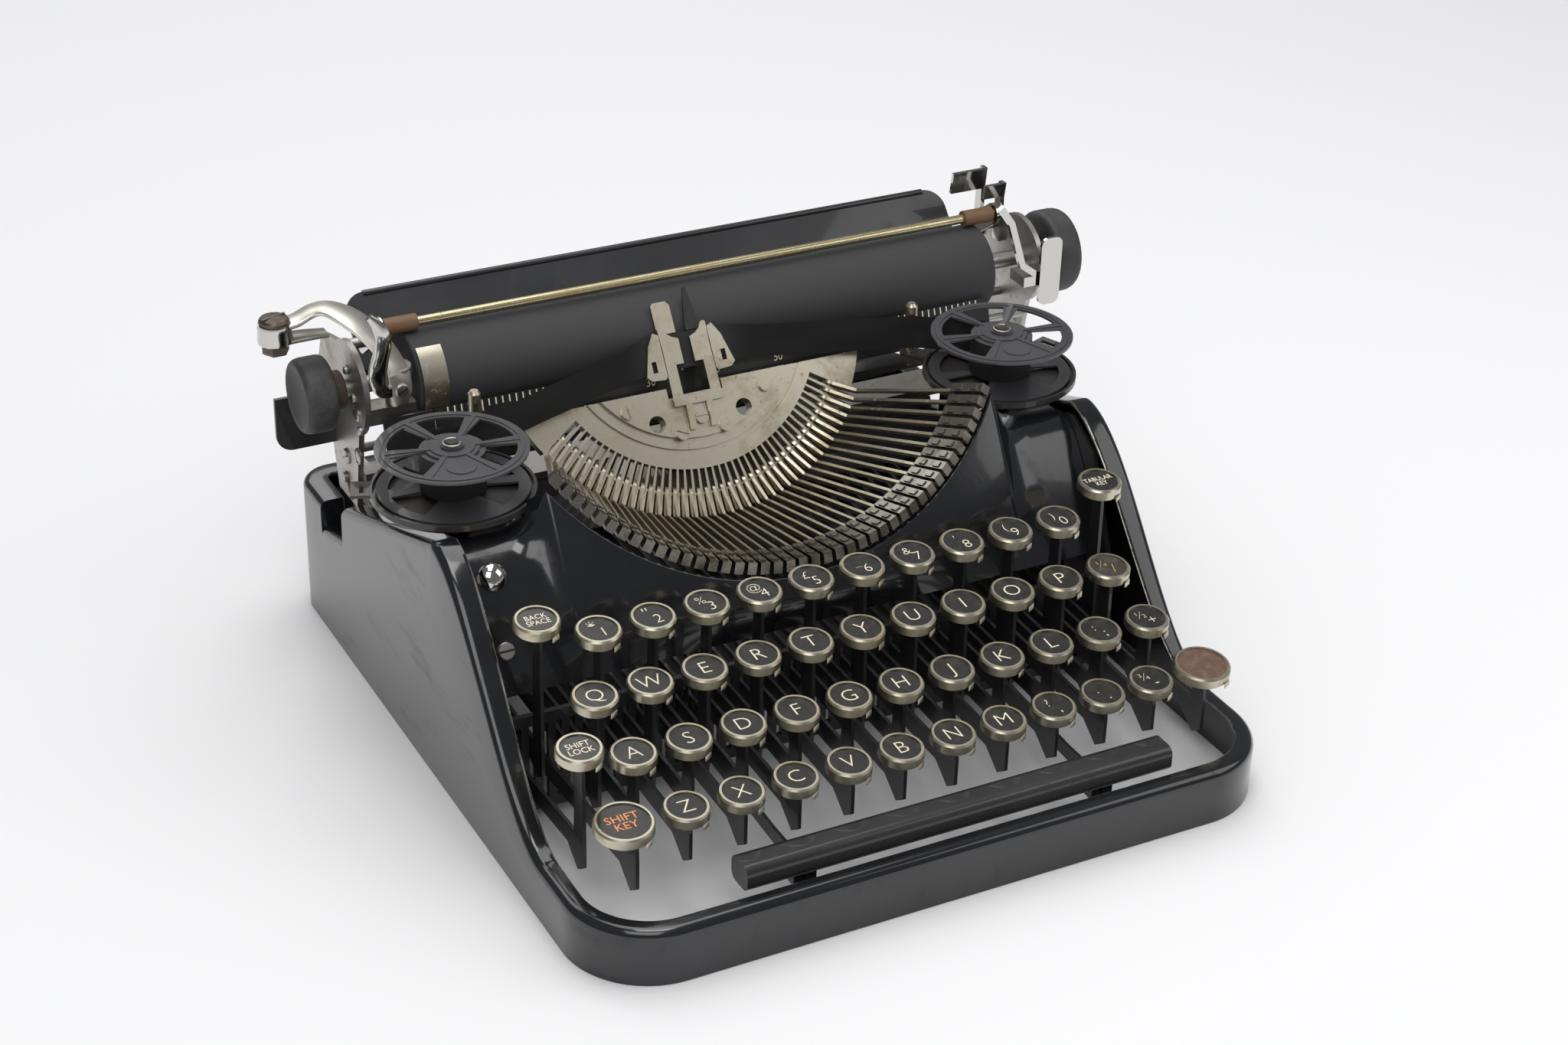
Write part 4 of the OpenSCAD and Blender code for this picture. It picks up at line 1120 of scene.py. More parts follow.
@dataclass
class FrontPanel(Piece):
    """Curved front panel between keyboard and type basket."""

    label: str = "front panel"
    half: float = 115.4
    foot_y: float = 103.0
    foot_z: float = 46.0
    slope: float = 1.57
    crown: float = 1.6
    sheet: float = 1.4
    lip_r: float = 100.0
    lip_d: float = 58.0
    roll: float = 2.4
    tip_x: float = 84.0
    tip_fade: float = 4.0
    swoop: float = 14.0
    bend: float = 9.0
    ledge_z: float = 86.5
    ledge_drop: float = 1.2
    ledge_back: float = 150.0
    front_steps: int = 12
    back_steps: int = 6
    lip_steps: int = 60
    swoop_steps: int = 24
    side_steps: int = 8
    # Button and screw: distance from the left edge and behind the foot, and how deep they sit.
    button: Span = (8.0, 21.0)
    screw: Span = (7.0, 8.0)
    seat: float = 0.6
    # Height and half length of the thin black strip painted as the shade in the screw's slot.
    slot_h: float = 1.62
    slot_half: float = 2.6

    def lip(self, x: float) -> Tuple[float, float]:
        """Gives the lip's point.

        Args:
            x: Distance from the middle.

        Returns:
            Its Y and Z.
        """
        p = BASKET.out(x, -math.sqrt(self.lip_r ** 2 - x * x), self.lip_d)
        return p[1], p[2]

    def column(self, x: float) -> List[Tuple[float, float, float]]:
        """Gives the outer skin's points at one distance from the middle.

        Args:
            x: Distance from the middle.

        Returns:
            Triples of Y, Z and wear.
        """
        tip = self.lip(self.tip_x)
        if x < self.tip_x:
            cy, cz = self.lip(x)
        else:
            t = smooth((x - self.tip_x) / self.swoop)
            q = max(0.0, min(1.0, (self.tip_x + self.swoop - x) / self.swoop))
            cy = tip[0] + (self.foot_y + (self.ledge_z - self.foot_z) / self.slope - tip[0]) * t
            cz = self.ledge_z + (tip[1] - self.ledge_z) * q * q
        k = smooth((x - self.tip_x) / self.tip_fade)
        by = cy + self.roll + (self.ledge_back - cy - self.roll) * k
        bz = (cz - self.roll) * (1 - k) + (self.ledge_z - self.ledge_drop) * k
        skin = []
        share = 1 - k * self.bend / math.hypot(cy - self.foot_y, cz - self.foot_z)
        for i in range(self.front_steps + 1):
            t = i / self.front_steps * share
            skin.append((self.foot_y + (cy - self.foot_y) * t - self.crown * math.sin(math.pi * t),
                         self.foot_z + (cz - self.foot_z) * t, 0.72 if i == 0 else 0.2 + 0.3 * (t > 0.95)))
        low, far = skin[-1], (cy + self.bend, cz)
        edge = [(cy + 0.3, cz + 0.45, 0.6), (cy + 0.7, cz + 0.75, 0.66), (cy + 1.2, cz + 0.78, 0.66),
                (cy + 1.8, cz + 0.6, 0.5)]
        for i, (y, z, wear) in enumerate(edge):
            t = (i + 1) / len(edge)
            a, b, c = (1 - t) ** 2, 2 * t * (1 - t), t * t
            arc = (a * low[0] + b * cy + c * far[0], a * low[1] + b * cz + c * far[1])
            skin.append((y + (arc[0] - y) * k, z + (arc[1] - z) * k, wear + (0.35 - wear) * k))
        ty, tz, _ = skin[-1]
        for i in range(1, self.back_steps + 1):
            t = i / self.back_steps
            skin.append((ty + (by - ty) * t, tz + (bz - tz) * t ** 0.6, 0.3))
        return skin

    def build(self) -> None:
        """Makes the panel's shell, its button and its screw."""
        start = self.tip_x + self.swoop
        xs = [self.tip_x * i / self.lip_steps for i in range(self.lip_steps + 1)]
        xs += [self.tip_x + self.swoop * i / self.swoop_steps for i in range(1, self.swoop_steps + 1)]
        xs += [start + (self.half - start) * i / self.side_steps for i in range(1, self.side_steps + 1)]
        rings, wear = [], []
        for x in [-x for x in xs[:0:-1]] + xs:
            col = self.column(abs(x))
            inner = []
            for i, (y, z, _) in enumerate(col):
                a, b = col[max(0, i - 1)], col[min(len(col) - 1, i + 1)]
                d = Vector((b[0] - a[0], b[1] - a[1]))
                d = d.normalized() if d.length > 1e-6 else Vector((0, 1))
                inner.append((x, y + self.sheet * d.y, z - self.sheet * d.x))
            rings.append([(x, y, z) for y, z, _ in col] + inner[::-1])
            side = 0.75 if abs(x) > self.half - 0.4 else 0.0
            wear += [max(v, side) for _, _, v in col] + [0.0] * len(inner)
        points, faces = Maker.rings(rings, False)
        made = Maker.mesh("panel_shell", points, faces, GLOSS, 42.0)
        Maker.mark(made, Layer.WEAR, wear)
        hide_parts("front_panel")
        self.ride(made, Body.FRAME, "enamel")
        self.fasten()

    def fasten(self) -> None:
        """Adds the domed button and the screw, with a thin black strip painted as the shade in its slot."""
        tilt = math.atan(self.slope)
        c, s = math.cos(tilt), math.sin(tilt)
        dome = [(4.6, -1), (4.6, 1.6), (4.2, 2.1), (3.8, 2.4), (3.0, 3.0), (1.8, 3.5), (0.0, 3.7)]
        flat = [(3.0, -1), (3.0, 1.0), (2.6, 1.5), (0.0, 1.6)]
        for name, (dx, dy), profile, finish in (("panel_button", self.button, dome, CHROME),
                                                ("panel_screw", self.screw, flat, STEEL)):
            foot = (-self.half + dx, self.foot_y + dy - self.seat, self.foot_z + dy * self.slope)
            self.ride(Maker.lathe(name, profile, foot, (0.0, -s, c), finish), Body.FRAME, "nickel")
        # The screw's slot is not cut: a thin black strip on its head is painted shade standing in for it.
        dx, dy = self.screw
        y = self.foot_y + dy - self.seat - self.slot_h * s
        z = self.foot_z + dy * self.slope + self.slot_h * c
        ends = [(-self.half + dx + q * self.slot_half, y, z) for q in (-1, 1)]
        slot = Maker.line("panel_screw_slot", ends, (0, c, s), 0.7, 0.06, BLACK)
        self.ride(slot, Body.FRAME, "nickel")


@dataclass
class KeyTop:
    """One printed key."""

    node: str
    x: float
    y: float
    z: float
    text: str
    ring: float = 7.6
    size: float = 6.2
    ink: Ink = CREAM
    card: Card = CARD
    narrow: float = 1.0
    pair: bool = False


@dataclass
class Keyboard(Piece):
    """Four banks of keys with printed cards."""

    label: str = "keyboard"
    pitch: float = 19.05
    lean: float = math.radians(6)
    ring_h: float = 4.0
    bank_y: float = 33.5
    bank_z: float = 38.9
    step_y: float = 18.24
    step_z: float = 11.58
    letter: float = 8.2
    figure: float = 6.3
    print_drop: float = 0.00046
    # Upper and lower sign of a pair: place from the key's middle, and shares of the size.
    upper: Span = (-1.3, 1.9)
    lower: Span = (1.2, -1.7)
    upper_share: float = 0.85
    small_share: float = 1.2
    card_edge: float = 1.2
    card_drop: float = 0.5
    card_near: float = 0.9
    tab_turns: Tuple[int, int] = (-62, 118)
    tab_half: float = 1.6
    tab_flat: float = 1.3
    tab_seat: float = 0.12
    tab_round: float = 0.15
    tab_rise: float = 0.3
    # Section of a ring's tab: outward and up from the ring's lower edge.
    tab_cut: Tuple[Span, ...] = ((0.0, -1.0), (0.3, -0.85), (0.3, 0.6), (0.0, 1.0))

    def bank(self, row: int) -> Span:
        """Gives the Y and Z of a bank of keys, counted from the rear."""
        return self.bank_y + (3 - row) * self.step_y, self.bank_z + (3 - row) * self.step_z

    def tops(self) -> List[KeyTop]:
        """Lists the keys.

        Returns:
            Every key with its place and legend.
        """
        banks = [
            (0.5, ["1", "2", "3", "4", "5", "6", "7", "8", "9", "0"],
             ["*\n1", "\"\n2", "%\n3", "@\n4", "\u00a3\n5", "_\n6", "&\n7", "'\n8", "(\n9", ")\n0"]),
            (0.0, list("qwertyuiop") + ["cent"], list("QWERTYUIOP") + ["\u00bc\n/"]),
            (0.25, list("asdfghjkl") + ["colon", "half"], list("ASDFGHJKL") + [":\n;", "\u00bd\n+"]),
            (0.75, list("zxcvbnm") + ["comma", "stop", "slash"],
             list("ZXCVBNM") + ["?\n,", ".\n.", "\u00be\n-"]),
        ]
        keys = []
        for row, (first, names, texts) in enumerate(banks):
            y, z = self.bank(row)
            for i, (n, t) in enumerate(zip(names, texts)):
                pair = "\n" in t
                size = self.figure if pair else self.letter
                keys.append(KeyTop("key_" + n, (first + i - 5) * self.pitch, y, z, t, size=size, pair=pair))
                if n == "cent":
                    keys[-1].card, keys[-1].ink = DULL_CARD, YELLOW
        p, (y, z) = self.pitch, self.bank(0)
        y += 4.5
        return keys + [
            KeyTop("backspace_key", -5.5 * p, y, z + 6, "BACK\nSPACE", size=3.4, narrow=0.85),
            KeyTop("tab_key", 5.5 * p, y, z + 8, "TABULAR\nKEY", size=3.2, narrow=0.8),
            KeyTop("shift_keys", -5.25 * p - 3, 31.5, 41.0, "SHIFT\nKEY", ring=9.7, size=4.5, ink=ORANGE),
            KeyTop("shift_keys", 5.75 * p, 31.5, 41.0, "", ring=9.7, card=BROWN_CARD),
            KeyTop("shift_keys", -5.75 * p, 49.8, 58.7, "SHIFT\nLOCK", size=3.6, narrow=0.9),
        ]

    def build(self) -> None:
        """Paints every key and adds its print and tabs."""
        tops = self.tops()
        for node in sorted({k.node for k in tops}):
            mine = [k for k in tops if k.node == node]
            rules: List[Rule] = []
            for k in mine:
                rules += [(self.on_card(k), k.card), (self.on_ring(k), RING)]
            Painter.paint(node, BLACK, rules)
            for i, k in enumerate(mine):
                self.dress(k, f"{node}_top{i}" if len(mine) > 1 else f"{node}_top")

    def on_card(self, k: KeyTop) -> Test:
        """Gives the test for a key's card.

        Args:
            k: The key.

        Returns:
            Test on a face's middle and normal.
        """
        def test(p: Vector, n: Vector) -> bool:
            """Tells whether a face is the card's."""
            inside = math.hypot(p.x - k.x, p.y - k.y) < k.ring - self.card_edge
            return inside and n.z > 0.9 and abs(p.z - (k.z - self.card_drop)) < self.card_near
        return test

    def on_ring(self, k: KeyTop) -> Test:
        """Gives the test for a key's ring.

        Args:
            k: The key.

        Returns:
            Test on a face's middle and normal.
        """
        def test(p: Vector, n: Vector) -> bool:
            """Tells whether a face is the ring's."""
            tilt = (p.y - k.y) * math.tan(self.lean)
            near = math.hypot(p.x - k.x, p.y - k.y) < k.ring + 1.0
            return near and p.z > k.z - self.ring_h - 0.2 + tilt
        return test

    def dress(self, k: KeyTop, name: str) -> None:
        """Adds a key's letters and crimped tabs.

        Args:
            k: The key.
            name: Name of the new piece.
        """
        place = Matrix.Translation(metres(k.x, k.y, k.z)) @ Matrix.Rotation(self.lean, 4, "X")
        parts = []
        split = [(k.text, 0.0, 0.0, 1.0)]
        if k.pair:
            upper, lower = k.text.split("\n")
            share = self.small_share if upper in "*\"" else self.upper_share
            split = [(upper, *self.upper, share), (lower, *self.lower, 1.0)]
        for i, (text, dx, dy, share) in enumerate(split):
            if text:
                spot = place @ Matrix.Translation((dx / MM, dy / MM, -self.print_drop))
                parts.append(Maker.words(f"{name}_word{i}", text, spot, k.size * share, k.ink, k.narrow))
        for i, turn in enumerate(self.tab_turns):
            parts.append(self.tab(k, f"{name}_tab{i}", math.radians(turn)))
        self.ride(Maker.join(name, parts), k.node, "frame_black")

    def tab(self, k: KeyTop, name: str, turn: float) -> bpy.types.Object:
        """Makes one crimped tab of a key's ring.

        Args:
            k: The key.
            name: Name of the tab.
            turn: Its direction round the key, in radians.

        Returns:
            The tab.
        """
        c, s = math.cos(turn), math.sin(turn)
        rows = []
        for dy in (-self.tab_half, -self.tab_flat, self.tab_flat, self.tab_half):
            row = []
            for dx, dz in self.tab_cut:
                r = k.ring - self.tab_seat + dx - (self.tab_round if abs(dy) > self.tab_flat and dx else 0.0)
                x, y = r * c - dy * s, r * s + dy * c
                z = k.z - self.ring_h + self.tab_rise + dz + y * math.tan(self.lean)
                row.append((k.x + x, k.y + y, z))
            rows.append(row)
        points, faces = Maker.rings(rows, False)
        return Maker.mesh(name, points, faces, RING)


@dataclass
class TypeWorks(Piece):
    """Segment, typebars and vibrator."""

    label: str = "type works"
    slug_out: float = 46.0
    bar_out: float = 2.6
    hole_out: float = -0.2
    hole_r: float = 53.5
    finger_out: float = 1.5

    def slug(self, p: Vector, n: Vector) -> bool:
        """Tells whether a face is a slug's."""
        return BASKET.local(p).z > self.slug_out

    def bar(self, p: Vector, n: Vector) -> bool:
        """Tells whether a face is a typebar's."""
        return BASKET.local(p).z > self.bar_out

    def hole(self, p: Vector, n: Vector) -> bool:
        """Tells whether a face lies behind the segment's slots."""
        q = BASKET.local(p)
        return q.z < self.hole_out and math.hypot(q.x, q.y) > self.hole_r

    def finger(self, p: Vector, n: Vector) -> bool:
        """Tells whether a face is the vibrator's dark right part."""
        q = BASKET.local(p)
        return q.z < self.finger_out and q.x > 0

    def build(self) -> None:
        """Paints segment, bars and vibrator."""
        Painter.paint("type_basket", NICKEL, [(self.slug, SLUG), (self.bar, BAR), (self.hole, BAR)])
        Painter.paint("typebar", BAR, [(self.slug, SLUG)])
        Painter.paint("ribbon_vibrator", NICKEL, [(self.finger, BLACK)])


@dataclass
class Ribbon(Piece):
    """Inked ribbon in two halves that meet behind the vibrator."""

    label: str = "ribbon"
    width: float = 12.7
    spool: Tuple[float, float] = (SPOOL_X, SPOOL_Y)
    wrap: float = 11.5
    guide: Tuple[float, float] = (85.0, 188.3)
    level: float = 100.25
    drop: float = 11.5
    lift: float = 1.3
    reach: float = 14.0
    flange: float = 25.4
    untwist: float = 6.0
    curl: float = 0.18
    wave: float = 0.35
    steps: int = 24
    columns: int = 8

    def stops(self, side: int) -> List[Tuple[Vector, Vector]]:
        """Gives the places that one half runs through, as on the right side.

        Args:
            side: -1 for left, 1 for right.

        Returns:
            Places with the direction of the width, from the vibrator to the spool.
        """
        mid = Vector(BASKET.out(0, -self.drop, self.lift))
        lean = Vector((0, math.cos(BASKET.slant), math.sin(BASKET.slant)))
        turn = mid + Vector((self.reach, 0, 0))
        start = self.guide if side > 0 else (turn.x, turn.y)
        gx, gy = start[0] - self.spool[0], start[1] - self.spool[1]
        a = math.atan2(gy, gx) - math.acos(self.wrap / math.hypot(gx, gy))
        leave = Vector((self.spool[0] + self.wrap * math.cos(a), self.spool[1] + self.wrap * math.sin(a),
                        self.level))
        if side > 0:
            bend = Vector((self.guide[0], self.guide[1], self.level))
        else:
            bend = leave + (Vector((turn.x, turn.y, self.level)) - leave).normalized() * self.flange
        return [(mid, lean), (turn, lean), (bend, Vector(UP)), (leave, Vector(UP))]

    def half(self, side: int) -> bpy.types.Object:
        """Makes one half of the ribbon.

        Args:
            side: -1 for left, 1 for right.

        Returns:
            The half ribbon.
        """
        stops = self.stops(side)
        path, wide = [], []
        for (p, w), (q, v) in zip(stops, stops[1:]):
            for k in range(self.steps):
                t = k / self.steps
                path.append(p.lerp(q, t))
                wide.append(w.lerp(v, smooth(t * self.untwist)))
        path.append(stops[-1][0])
        wide.append(stops[-1][1])
        rows, along = [], []
        length = sum((path[i + 1] - path[i]).length for i in range(len(path) - 1))
        for i, (p, w) in enumerate(zip(path, wide)):
            d = (path[min(len(path) - 1, i + 1)] - path[max(0, i - 1)]).normalized()
            w = w.normalized()
            n = d.cross(w).normalized()
            row = []
            for j in range(self.columns + 1):
                t = j / self.columns - 0.5
                curl = self.curl * math.cos(2 * math.pi * t) * math.sin(i * self.wave)
                q = p + w * self.width * t + n * curl
                row.append((side * q.x, q.y, q.z))
                along.append(i / len(path))
            rows.append(row)
        points, faces = Maker.rings(rows, False, False)
        made = Maker.mesh("ribbon_left" if side < 0 else "ribbon_right", points, faces, CLOTH, 60.0)
        Maker.mark(made, Layer.ALONG, along)
        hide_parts("ribbon")
        metres(side * 70, 190, 100)
        metres(side * 18, 203, 104)
        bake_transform(made)
        LOG.info("%s: made %s", self.label, made.name)
        return made

    def build(self) -> None:
        """Makes both halves."""
        for side in (-1, 1):
            self.half(side)


@dataclass
class Spools(Piece):
    """Ribbon spools with their wound ribbon."""

    label: str = "spools"
    low: float = 92.6
    high: float = 107.9
    wound_r: Span = (10.0, 11.8)
    clip_r: float = 2.9
    clip_h: float = 1.5
    clip_start: float = 40.0
    clip_arc: float = 300.0
    clip_steps: int = 72
    wire_r: float = 0.45

    def wound(self, x: float) -> Test:
        """Gives the test for the wound ribbon of one spool.

        Args:
            x: Place of the spool's axis.

        Returns:
            Test on a face's middle and normal.
        """
        def test(p: Vector, n: Vector) -> bool:
            """Tells whether a face is the wound ribbon's."""
            r = math.hypot(p.x - x, p.y - SPOOL_Y)
            between = self.low + 1 < p.z < self.high - 1
            return self.wound_r[0] < r < self.wound_r[1] and between and abs(n.z) < 0.3
        return test

    def build(self) -> None:
        """Paints both spools and adds their wire clips."""
        for side, body in ((-1, Body.LEFT_SPOOL), (1, Body.RIGHT_SPOOL)):
            Painter.paint(body.value, SPOOL, [(self.wound(side * SPOOL_X), CLOTH)])
            rings = []
            for i in range(self.clip_steps + 1):
                a = math.radians(self.clip_arc * i / self.clip_steps + self.clip_start)
                c = Vector((side * SPOOL_X + self.clip_r * math.cos(a), SPOOL_Y + self.clip_r * math.sin(a),
                            self.high + self.clip_h))
                o = Vector((math.cos(a), math.sin(a), 0))
                ring = []
                for b in [math.pi / 4 * k for k in range(8)]:
                    rise = Vector((0, 0, self.wire_r * math.sin(b)))
                    ring.append(tuple(c + o * self.wire_r * math.cos(b) + rise))
                rings.append(ring)
            points, faces = Maker.rings(rings, False)
            self.ride(Maker.mesh(f"{body.value}_clip", points, faces, STEEL), body, "spool_steel")


@dataclass
class Chassis(Piece):
    """Inner frame, spool cups and rear works."""

    label: str = "chassis"
    cup_z: float = 86.0
    cup_r: float = 41.0
    pin: Span = (85.0, 191.0)
    pin_z: float = 91.6
    pin_r: float = 2.8
    rod: Span = (232.0, 33.0)
    rod_r: float = 2.2
    rails: Zone = Zone(y=(220, 239), z=(45.9, 53.1))

    def on_cup(self, p: Vector, n: Vector) -> bool:
        """Tells whether a face is a spool cup's."""
        return p.z > self.cup_z and math.hypot(abs(p.x) - SPOOL_X, p.y - SPOOL_Y) < self.cup_r

    def on_pin(self, p: Vector, n: Vector) -> bool:
        """Tells whether a face is a ribbon guide's."""
        return p.z > self.pin_z and math.hypot(abs(p.x) - self.pin[0], p.y - self.pin[1]) < self.pin_r

    def on_rod(self, p: Vector, n: Vector) -> bool:
        """Tells whether a face is the fulcrum rod's."""
        return math.hypot(p.y - self.rod[0], p.z - self.rod[1]) < self.rod_r

    def build(self) -> None:
        """Paints the chassis."""
        Painter.paint("chassis", BLACK, [(self.on_pin, NICKEL), (self.on_cup, BROWNED),
                                         (either(self.on_rod, self.rails), STEEL)])


@dataclass
class Platen(Piece):
    """Platen with rounded, dished knobs."""

    label: str = "platen"
    half: float = 114.5
    shaft_r: float = 3.0
    shaft_half: float = 140.0
    knob_gap: float = 4.5
    left_knob: Span = (13.3, 11.1)
    right_knob: Span = (16.0, 12.2)

    def build(self) -> None:
        """Turns roller, shaft, knobs and collars."""
        foot, way = (CARRIAGE_X, PLATEN_Y, PLATEN_Z), (1, 0, 0)
        half, r, bore = self.half, PLATEN_R, self.shaft_r - 0.1
        barrel = [(bore, -half), (r - 0.5, -half), (r, 0.5 - half),
                  (r, half - 0.5), (r - 0.5, half), (bore, half)]
        shaft = [(self.shaft_r, -self.shaft_half), (self.shaft_r, self.shaft_half)]
        collar = [(3.0, 0.0), (6.4, 0.0), (6.8, 0.4), (6.8, 3.9), (6.4, 4.7)]
        parts = [Maker.lathe("roller", barrel, foot, way, ROLLER, 72),
                 Maker.lathe("roller_shaft", shaft, foot, way, STEEL, 24)]
        for side, name, (kr, dish) in ((-1, "left", self.left_knob), (1, "right", self.right_knob)):
            skin = [(6.0, 4.6), (kr - 2.4, 4.6), (kr - 1.4, 4.85), (kr - 0.6, 5.4), (kr - 0.15, 6.2), (kr, 7.2),
                    (kr, 12.6), (kr - 0.15, 13.8), (kr - 0.5, 14.8), (kr - 1.0, 15.5), (kr - 1.7, 15.9),
                    (dish - 0.2, 15.95)]
            skin += [(dish * (1 - t), 13.6 + 2.3 * (1 - t) ** 2) for t in (0.12, 0.3, 0.5, 0.75, 1.0)]
            base = (CARRIAGE_X + side * (END_X + self.knob_gap), PLATEN_Y, PLATEN_Z)
            parts.append(Maker.lathe(f"knob_{name}", skin, base, (side, 0, 0), KNOB, 56))
            parts.append(Maker.lathe(f"collar_{name}", collar, base, (side, 0, 0), COLLAR, 40))
        made = Maker.join("platen_turned", parts)
        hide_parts("platen")
        self.ride(made, Body.PLATEN, "platen_rubber")


@dataclass
class ReturnLever(Piece):
    """Return lever with its bent blade, head and thumb finger."""

    label: str = "return lever"
    # Rows of place, direction of the width and width.
    blade: Tuple[Row, ...] = (
        (-142, 226, 130.6, 0, 1, 0, 9), (-135, 226.3, 131, 0, 1, 0, 8.5), (-128.5, 226.8, 133.2, 0.2, 1, 0, 9),
        (-124, 225, 134, 0.5, 0.85, 0, 10), (-119, 220.5, 132.4, 0.7, 0.71, 0, 11.5),
        (-114, 215.5, 128.6, 0.7, 0.71, 0, 12), (-109.5, 211, 122.6, 0.7, 0.71, 0, 11.5),
        (-106.6, 208, 116.8, 0.8, 0.6, 0, 10), (-105.8, 206.6, 112.6, 1, 0.2, 0, 8.6),
        (-105.6, 206.2, 107, 1, 0, 0, 8), (-105.6, 206.2, 103, 1, 0, 0, 4.5))
    finger: Tuple[Row, ...] = (
        (-109, 205.9, 108.6, 0, 0, 1, 4.6), (-112, 205.7, 109.4, 0.7, 0, 0.7, 5.2),
        (-113.5, 205.6, 113.5, 1, 0, 0, 6.2), (-113.2, 205.5, 119, 1, 0, 0.1, 6.6),
        (-111.7, 205.4, 125, 1, 0, 0.2, 6.4), (-111.7, 205.2, 130, 1, 0, 0.45, 5.6),
        (-113.6, 205.6, 134.5, 0.9, 0, 0.6, 4), (-115.8, 206, 137.2, 0.8, 0, 0.7, 2.6))
    under: Tuple[Row, ...] = (
        (-142, 226, 125, 0, 1, 0, 8.5), (-133, 226.4, 125, 0, 1, 0, 8), (-124, 226, 124.6, 0, 1, 0, 6))
    head: Point = (-142, 226, 0)
    hub: Point = (-105, 212, 0)
    ear: Point = (-105.3, 205.6, 108.2)
    # Turned pieces: pairs of radius and height.
    cup_cut: Tuple[Span, ...] = ((0, 124.4), (5.4, 124.4), (5.9, 124.9), (6, 126), (5.7, 129.4), (5.9, 130.4),
                                 (5.6, 131.6), (0, 131.8))
    nut_cut: Tuple[Span, ...] = ((0, 120.8), (4.3, 120.8), (4.7, 121.2), (4.7, 124.5), (0, 124.5))
    screw_cut: Tuple[Span, ...] = ((0, 131.6), (5.2, 131.6), (5.2, 132.8), (4.6, 133.6), (2.5, 134.1),
                                   (0, 134.2))
    hub_cut: Tuple[Span, ...] = ((2.6, 110.5), (5.2, 110.5), (5.5, 110.8), (5.5, 114.7), (5.2, 115), (0, 115))
    ear_cut: Tuple[Span, ...] = ((2.5, -0.4), (2.5, 0.5), (2.1, 0.9), (0, 1.1))

    def build(self) -> None:
        """Makes the lever and joins its parts."""
        # The screw slots are not cut: thin black strips on the heads are painted shade standing in for them.
        head_slot_shade = [(-146.2, 224.6, 134.05), (-137.8, 227.4, 134.05)]
        ear_slot = [(-107, 204.5, 107.2), (-103.6, 204.5, 109.2)]
        made = Maker.join("lever_bent", [
            Maker.blade("lever_blade", self.blade, 1.6, BLADE),
            Maker.blade("lever_finger", self.finger, 1.8, CHROME),
            Maker.blade("lever_under", self.under, 1.3, STEEL),
            Maker.lathe("lever_cup", self.cup_cut, self.head, UP, CHROME),
            Maker.lathe("lever_nut", self.nut_cut, self.head, UP, BRONZE, 6),
            Maker.lathe("lever_screw", self.screw_cut, self.head, UP, BRONZE),
            Maker.lathe("lever_hub", self.hub_cut, self.hub, UP, STEEL),
            Maker.lathe("ear_screw", self.ear_cut, self.ear, (0, -1, 0), STEEL, 24),
            Maker.line("lever_slot", head_slot_shade, (-0.33, 1, 0), 0.9, 0.4, BLACK),
            Maker.line("ear_slot", ear_slot, (-0.5, 0, 0.86), 0.6, 0.12, BLACK),
        ])
        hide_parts("return_lever")
        self.ride(made, Body.LEVER, "chrome")


